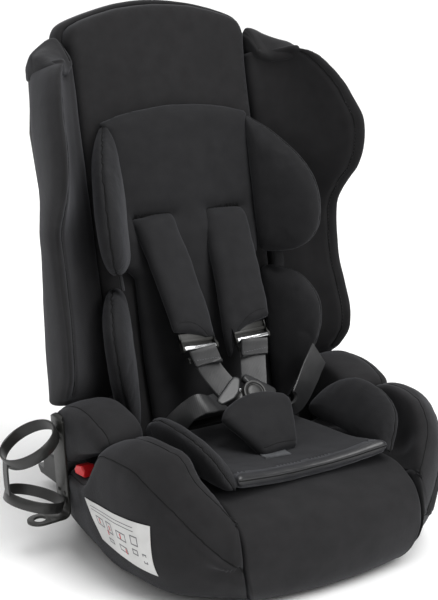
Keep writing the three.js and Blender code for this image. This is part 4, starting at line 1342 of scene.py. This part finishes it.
def cup_frame(points):
    """Points in the cup holder's own frame [out, across, up] put in the row frame."""
    p = np.asarray(points, float).reshape(-1, 3)
    c, s = math.cos(CUP_TILT), math.sin(CUP_TILT)
    x, z = p[:, 0] * c + p[:, 2] * s, -p[:, 0] * s + p[:, 2] * c
    return np.column_stack([-x, -p[:, 1], z]) + [-221.5, 40, 172]


TAB_X, TAB_RADIUS, HOLE_RADIUS = 36, 16, 7.5  # the bracket's tab and its hole
TAB_HEIGHTS = (-128, -125)
RING_HEIGHTS = (-24, -96)  # where the two cage rings meet the bracket


def bracket_plate():
    """The flat steel bar: a hook at the top, a bend at the foot and a round tab with a hole."""
    hook = [(-5, -8), (-5, -2), (-4, 0.6), (-1.5, 1.6), (0, 0.4)]
    bend = [(10 * (1 - math.cos(t)), -118 - 10 * math.sin(t)) for t in np.linspace(0.1, math.pi / 2, 8)]
    line = np.array(hook + [(0, 0), (0, -60), (0, -118)] + bend + [(18, -128), (27, -128)])
    ahead = np.gradient(line, axis=0)
    normal = np.column_stack([-ahead[:, 1], ahead[:, 0]])
    normal /= np.linalg.norm(normal, axis=1, keepdims=True)
    rings = []
    for i, (a, n) in enumerate(zip(line, normal)):
        half = 10 if i < 4 else (13 if i == 4 else 16)
        b = a + n * 3.0
        rings.append(cup_frame([(a[0], -half, a[1]), (a[0], half, a[1]), (b[0], half, b[1]),
                                (b[0], -half, b[1])]))
    return Part().grid(rings)


def bracket_tab(steel):
    """The round tab: two faces with a hole, and walls outside and in it."""
    count = 48
    end = [(TAB_X + TAB_RADIUS * math.cos(t), TAB_RADIUS * math.sin(t))
           for t in np.linspace(-math.pi / 2, math.pi / 2, 25)]
    outer = resample([(26.5, -TAB_RADIUS)] + end + [(26.5, TAB_RADIUS)], count, True)
    ways = [math.atan2(q[1], q[0] - TAB_X) for q in outer]
    hole = [(TAB_X + HOLE_RADIUS * math.cos(t), HOLE_RADIUS * math.sin(t)) for t in ways]
    verts = [cup_frame([(a, b, z) for a, b in loop]) for z in TAB_HEIGHTS for loop in (outer, hole)]
    faces = []
    for j in range(count):
        k = (j + 1) % count
        faces += [
            (j, k, count + k, count + j), (2 * count + j, 3 * count + j, 3 * count + k, 2 * count + k),
            (j, 2 * count + j, 2 * count + k, k), (count + j, count + k, 3 * count + k, 3 * count + j),
        ]
    steel.add(np.vstack(verts), faces)


def cage_ring(slope, z, tall):
    """One band of the cage, tilted by slope about the bracket's width."""
    middle = 3.7 + 37.5 * math.cos(slope) + tall / 2 * math.sin(abs(slope))
    half = tall / 2
    section = [(35.3, -half + 0.8), (35.3, half - 0.8), (36, half), (37, half), (37.6, half - 0.8),
               (37.6, -half + 0.8), (37, -half), (36, -half)]
    rings = []
    for t in np.linspace(0, 2 * math.pi, 97):
        ring = []
        for r, h in section:
            x, y = r * math.cos(t), r * math.sin(t)
            ring.append((middle + x * math.cos(slope) + h * math.sin(slope), y,
                         z - x * math.sin(slope) + h * math.cos(slope)))
        rings.append(cup_frame(ring))
    return rings


def cup_holder():
    steel = bracket_plate()
    bracket_tab(steel)
    obj = put("cup_bracket_plate", steel, [BLACK_STEEL], "cup_holder",
              ("cup_holder_bracket",))
    bevel(obj, 0.6)
    cage = Part()
    for degrees, z, tall in zip((25, -20), RING_HEIGHTS, (16, 14)):
        cage.grid(cage_ring(math.radians(degrees), z, tall), caps=False)
    spine = smooth([(74, 0, -38), (75, 0, -50), (75, 0, -72), (73.5, 0, -88)], 20)
    cage.grid([cup_frame([(x - 1.2, -6, z), (x - 1.2, 6, z), (x + 1.2, 6, z), (x + 1.2, -6, z)])
               for x, y, z in spine])
    put("cup_cage", cage, [DARK], "cup_holder", ("cup_holder_cage",))
    rivets = Part()
    for z in RING_HEIGHTS:
        for y in (-8, 8):
            rivets.grid([cup_frame([(3.2 + k, y + r * math.cos(t), z + r * math.sin(t)) for t in turns(16)])
                         for k, r in ((0, 2.6), (0.6, 2.4), (1.1, 1.7), (1.3, 0.6))])
    put("cup_rivets", rivets, [BLACK_STEEL], "cup_holder")


# ------------------------------------------------------------------ sticker
# The sticker's corners on the child's-right arm: top rear, top front, bottom front, bottom rear.
STICKER = np.array([(-222, -31, 94), (-212, -169, 106), (-200, -167, 41), (-219, -64, 51)], float)
# The film's marks as parts of its width and height: lines [v], frames [u, v, wide, high], red [u, v].
PRINT_LINES = (0.12, 0.2)
PRINT_FRAMES = (
    (0.12, 0.32, 0.14, 0.2), (0.32, 0.3, 0.1, 0.26), (0.5, 0.36, 0.16, 0.18), (0.74, 0.3, 0.1, 0.2),
    (0.74, 0.58, 0.08, 0.12), (0.5, 0.66, 0.14, 0.14), (0.28, 0.7, 0.1, 0.1), (0.88, 0.6, 0.05, 0.2),
)
PRINT_RED = ((0.17, 0.36), (0.36, 0.38), (0.56, 0.4), (0.3, 0.52), (0.6, 0.7))
INK_LIFT, RED_LIFT, INK_THICK = 1.25, 1.3, 0.1


def sticker():
    """A plain film with lines and small marks in place of print."""
    bm = bmesh.new()
    bm.from_mesh(bpy.data.objects["arm_cover_right"].data)
    tree = BVHTree.FromBMesh(bm)

    def at(u, v, lift):
        top = STICKER[0] + (STICKER[1] - STICKER[0]) * u
        low = STICKER[3] + (STICKER[2] - STICKER[3]) * u
        p = top + (low - top) * v
        origin = Vector((-400 * MM, p[1] * MM, p[2] * MM))
        hit, normal, _, _ = tree.ray_cast(origin, Vector((1, 0, 0)))
        if hit is None:
            hit, normal, _, _ = tree.find_nearest(Vector(p * MM))
        return np.array(hit + normal * lift * MM) / MM

    part = Part()

    def sheet(u0, u1, v0, v1, lift, nu, nv, material, thick=INK_THICK):
        """A patch of the film between two pairs of edges, laid on the arm."""
        for base in (lift, lift - thick):
            rows = [[at(u0 + (u1 - u0) * i / nu, v0 + (v1 - v0) * j / nv, base) for i in range(nu + 1)]
                    for j in range(nv + 1)]
            part.grid(rows, material, closed=False)

    sheet(0, 1, 0, 1, 1.1, 24, 12, 0, 0.35)
    for v in PRINT_LINES:
        sheet(0.08, 0.8, v, v + 0.018, INK_LIFT, 18, 1, 1)
    t = 0.016  # a frame's line
    for u, v, w, h in PRINT_FRAMES:
        for edges in ((u, u + w, v, v + t * 1.6), (u, u + w, v + h - t * 1.6, v + h),
                      (u, u + t * 0.7, v, v + h), (u + w - t * 0.7, u + w, v, v + h)):
            sheet(*edges, INK_LIFT, 3, 1, 1)
    for u, v in PRINT_RED:
        sheet(u, u + 0.02, v, v + 0.11, RED_LIFT, 2, 2, 2)
    bm.free()
    put("sticker_film", part, [PAPER, INK, RED_INK], "base", ("side_sticker",))


# ------------------------------------------------------------------ shell details and hardware
def pairs_of(*names):
    """The names of both the left and the right piece."""
    return [f"{name}_{hand}" for name in names for hand in ("left", "right")]


# CAD pieces that show as they are: their names, their material and their eased edge in mm.
DRESSED = (
    (("base_shell", "back_shell"), SHELL, 1.2),
    (pairs_of("isofix_housing"), DARK, 0.8),
    ((*pairs_of("isofix_arm", "hinge_pin", "isofix_hook"), "crotch_anchor_plate", "anchor_bar"), STEEL, 0.6),
    ((*pairs_of("isofix_button", "lap_belt_guide"), "buckle_button"), RED, 0.8),
    (pairs_of("adjuster_lever"), DARK, 0.5),
)


def dress_cad():
    """Node materials and eased edges for the CAD pieces that show as they are."""
    for names, material, width in DRESSED:
        for name in names:
            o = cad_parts[name]
            o.data.materials.clear()
            o.data.materials.append(material)
            bevel_modifier(o, width, 40).harden_normals = False


def rib(part, points, wide=4.0, high=5.0):
    """A rib on the shell's back along [x, height] points, narrower at its crest."""
    p = np.asarray(points, float)
    rings = []
    for i in range(len(p)):
        ahead = p[min(i + 1, len(p) - 1)] - p[max(i - 1, 0)]
        n = np.array([-ahead[1], ahead[0]])
        n /= np.linalg.norm(n)
        foot = [(*(p[i] + n * k), 19.8) for k in (-wide / 2, wide / 2)]
        crest = [(*(p[i] + n * k), 20 + high) for k in (wide * 0.32, -wide * 0.32)]
        rings.append(back([(x, depth, z) for x, z, depth in foot + crest]))
    part.grid(rings)


def back_ribs():
    """Stiffening ribs moulded on the back of the shell."""
    part = Part()
    for x in (-100, 100):
        rib(part, catmull([(x * 1.2, 50), (x * 1.22, 150), (x * 1.15, 300), (x * 1.1, 440)]))
    for z in (90, 150, 210):
        rib(part, catmull([(-118, z), (-60, z - 6), (0, z - 8), (60, z - 6), (118, z)]))
    for z in (385, 430):
        rib(part, catmull([(-110, z), (0, z + 8), (110, z)]))
    window = [(-96, 255), (-96, 365), (0, 374), (96, 365), (96, 255), (0, 246), (-96, 255)]
    rib(part, catmull(window), high=6)
    for x in (-50, 50):
        rib(part, [(x, 48), (x, 86), (x, 150), (x, 210)])
    put("back_shell_ribs", part, [SHELL], "backrest")


# ------------------------------------------------------------------ floor, lights and camera
FLOOR_HALF, FLOOR_DROP, FLOOR_COLOR = 60, -0.0005, (0.93, 0.93, 0.93, 1)
AMBIENT = 0.32
# name, place, height it looks at, size, watts
SOFT_LIGHTS = (
    ("front_light", (0.7, -2.3, 1.7), 0.35, 1.3, 26),
    ("side_light", (-2.6, -0.7, 1.6), 0.3, 1.2, 5),
    ("back_light", (0.9, 2.4, 1.8), 0.4, 1.4, 14),
)
# name, where it shines from, its angle in degrees, strength
SUNS = (("key_sun", (0.40, -0.85, 1.9), 40, 2.3), ("top_sun", (-0.1, 0.4, 1.8), 70, 0.9))
CAMERA_PLACE = (-0.93815, -1.46174, 0.77387)
CAMERA_TURN = (32.318, 15.283)  # azimuth and elevation in degrees
CAMERA_LENS = 85.7


def placed(name, data, place, target):
    """An object at place that looks at target."""
    obj = bpy.data.objects.new(name, data)
    obj.location = place
    obj.rotation_euler = (Vector(target) - Vector(place)).to_track_quat("-Z", "Y").to_euler()
    bpy.context.scene.collection.objects.link(obj)
    return obj


def studio():
    """Floor, lights and camera."""
    bm = bmesh.new()
    bmesh.ops.create_grid(bm, x_segments=1, y_segments=1, size=FLOOR_HALF)
    mesh = bpy.data.meshes.new("studio_floor")
    bm.to_mesh(mesh)
    bm.free()
    floor = bpy.data.objects.new("studio_floor", mesh)
    bpy.context.scene.collection.objects.link(floor)
    mat, _, shader = start_material("pale_floor")
    set_inputs(shader, {"Base Color": FLOOR_COLOR, "Roughness": 0.75})
    mesh.materials.append(mat)
    floor.location.z = FLOOR_DROP
    world = bpy.data.worlds.new("studio_light")
    world.use_nodes = True
    set_inputs(world.node_tree.nodes["Background"], {"Color": (1, 1, 1, 1), "Strength": AMBIENT})
    bpy.context.scene.world = world
    for name, place, aim, size, power in SOFT_LIGHTS:
        data = bpy.data.lights.new(name, "AREA")
        data.size = size
        data.energy = power
        placed(name, data, place, (0, 0, aim))
    for name, place, angle, strength in SUNS:
        data = bpy.data.lights.new(name, "SUN")
        data.angle = math.radians(angle)
        data.energy = strength
        placed(name, data, place, (0, 0, 0))
    camera = bpy.data.cameras.new("camera")
    camera.lens = CAMERA_LENS
    camera.sensor_width = 36
    obj = bpy.data.objects.new("camera", camera)
    bpy.context.scene.collection.objects.link(obj)
    azimuth, elevation = (math.radians(a) for a in CAMERA_TURN)
    forward = Vector((math.sin(azimuth) * math.cos(elevation), math.cos(azimuth) * math.cos(elevation),
                      -math.sin(elevation)))
    obj.location = CAMERA_PLACE
    obj.rotation_euler = forward.to_track_quat("-Z", "Y").to_euler()
    bpy.context.scene.camera = obj
    bpy.context.scene.view_settings.view_transform = "Standard"


studio()
centre_panel()
tower_hood()
both_sides(wing)
both_sides(belt_hook)
inlay_back()
for make in (head_bolster, torso_bolster, bolster_tab):
    both_sides(make)
seat_cushion()
both_sides(arm)
both_sides(knob)
inlay_seat()
for make in (hip_bolster, shoulder_pad, harness, webbing_below, adjuster):
    both_sides(make)
crotch_pad()
buckle()
both_sides(tongue)
crotch_webbing()
both_sides(lap_webbing)
cup_holder()
sticker()
back_ribs()
dress_cad()
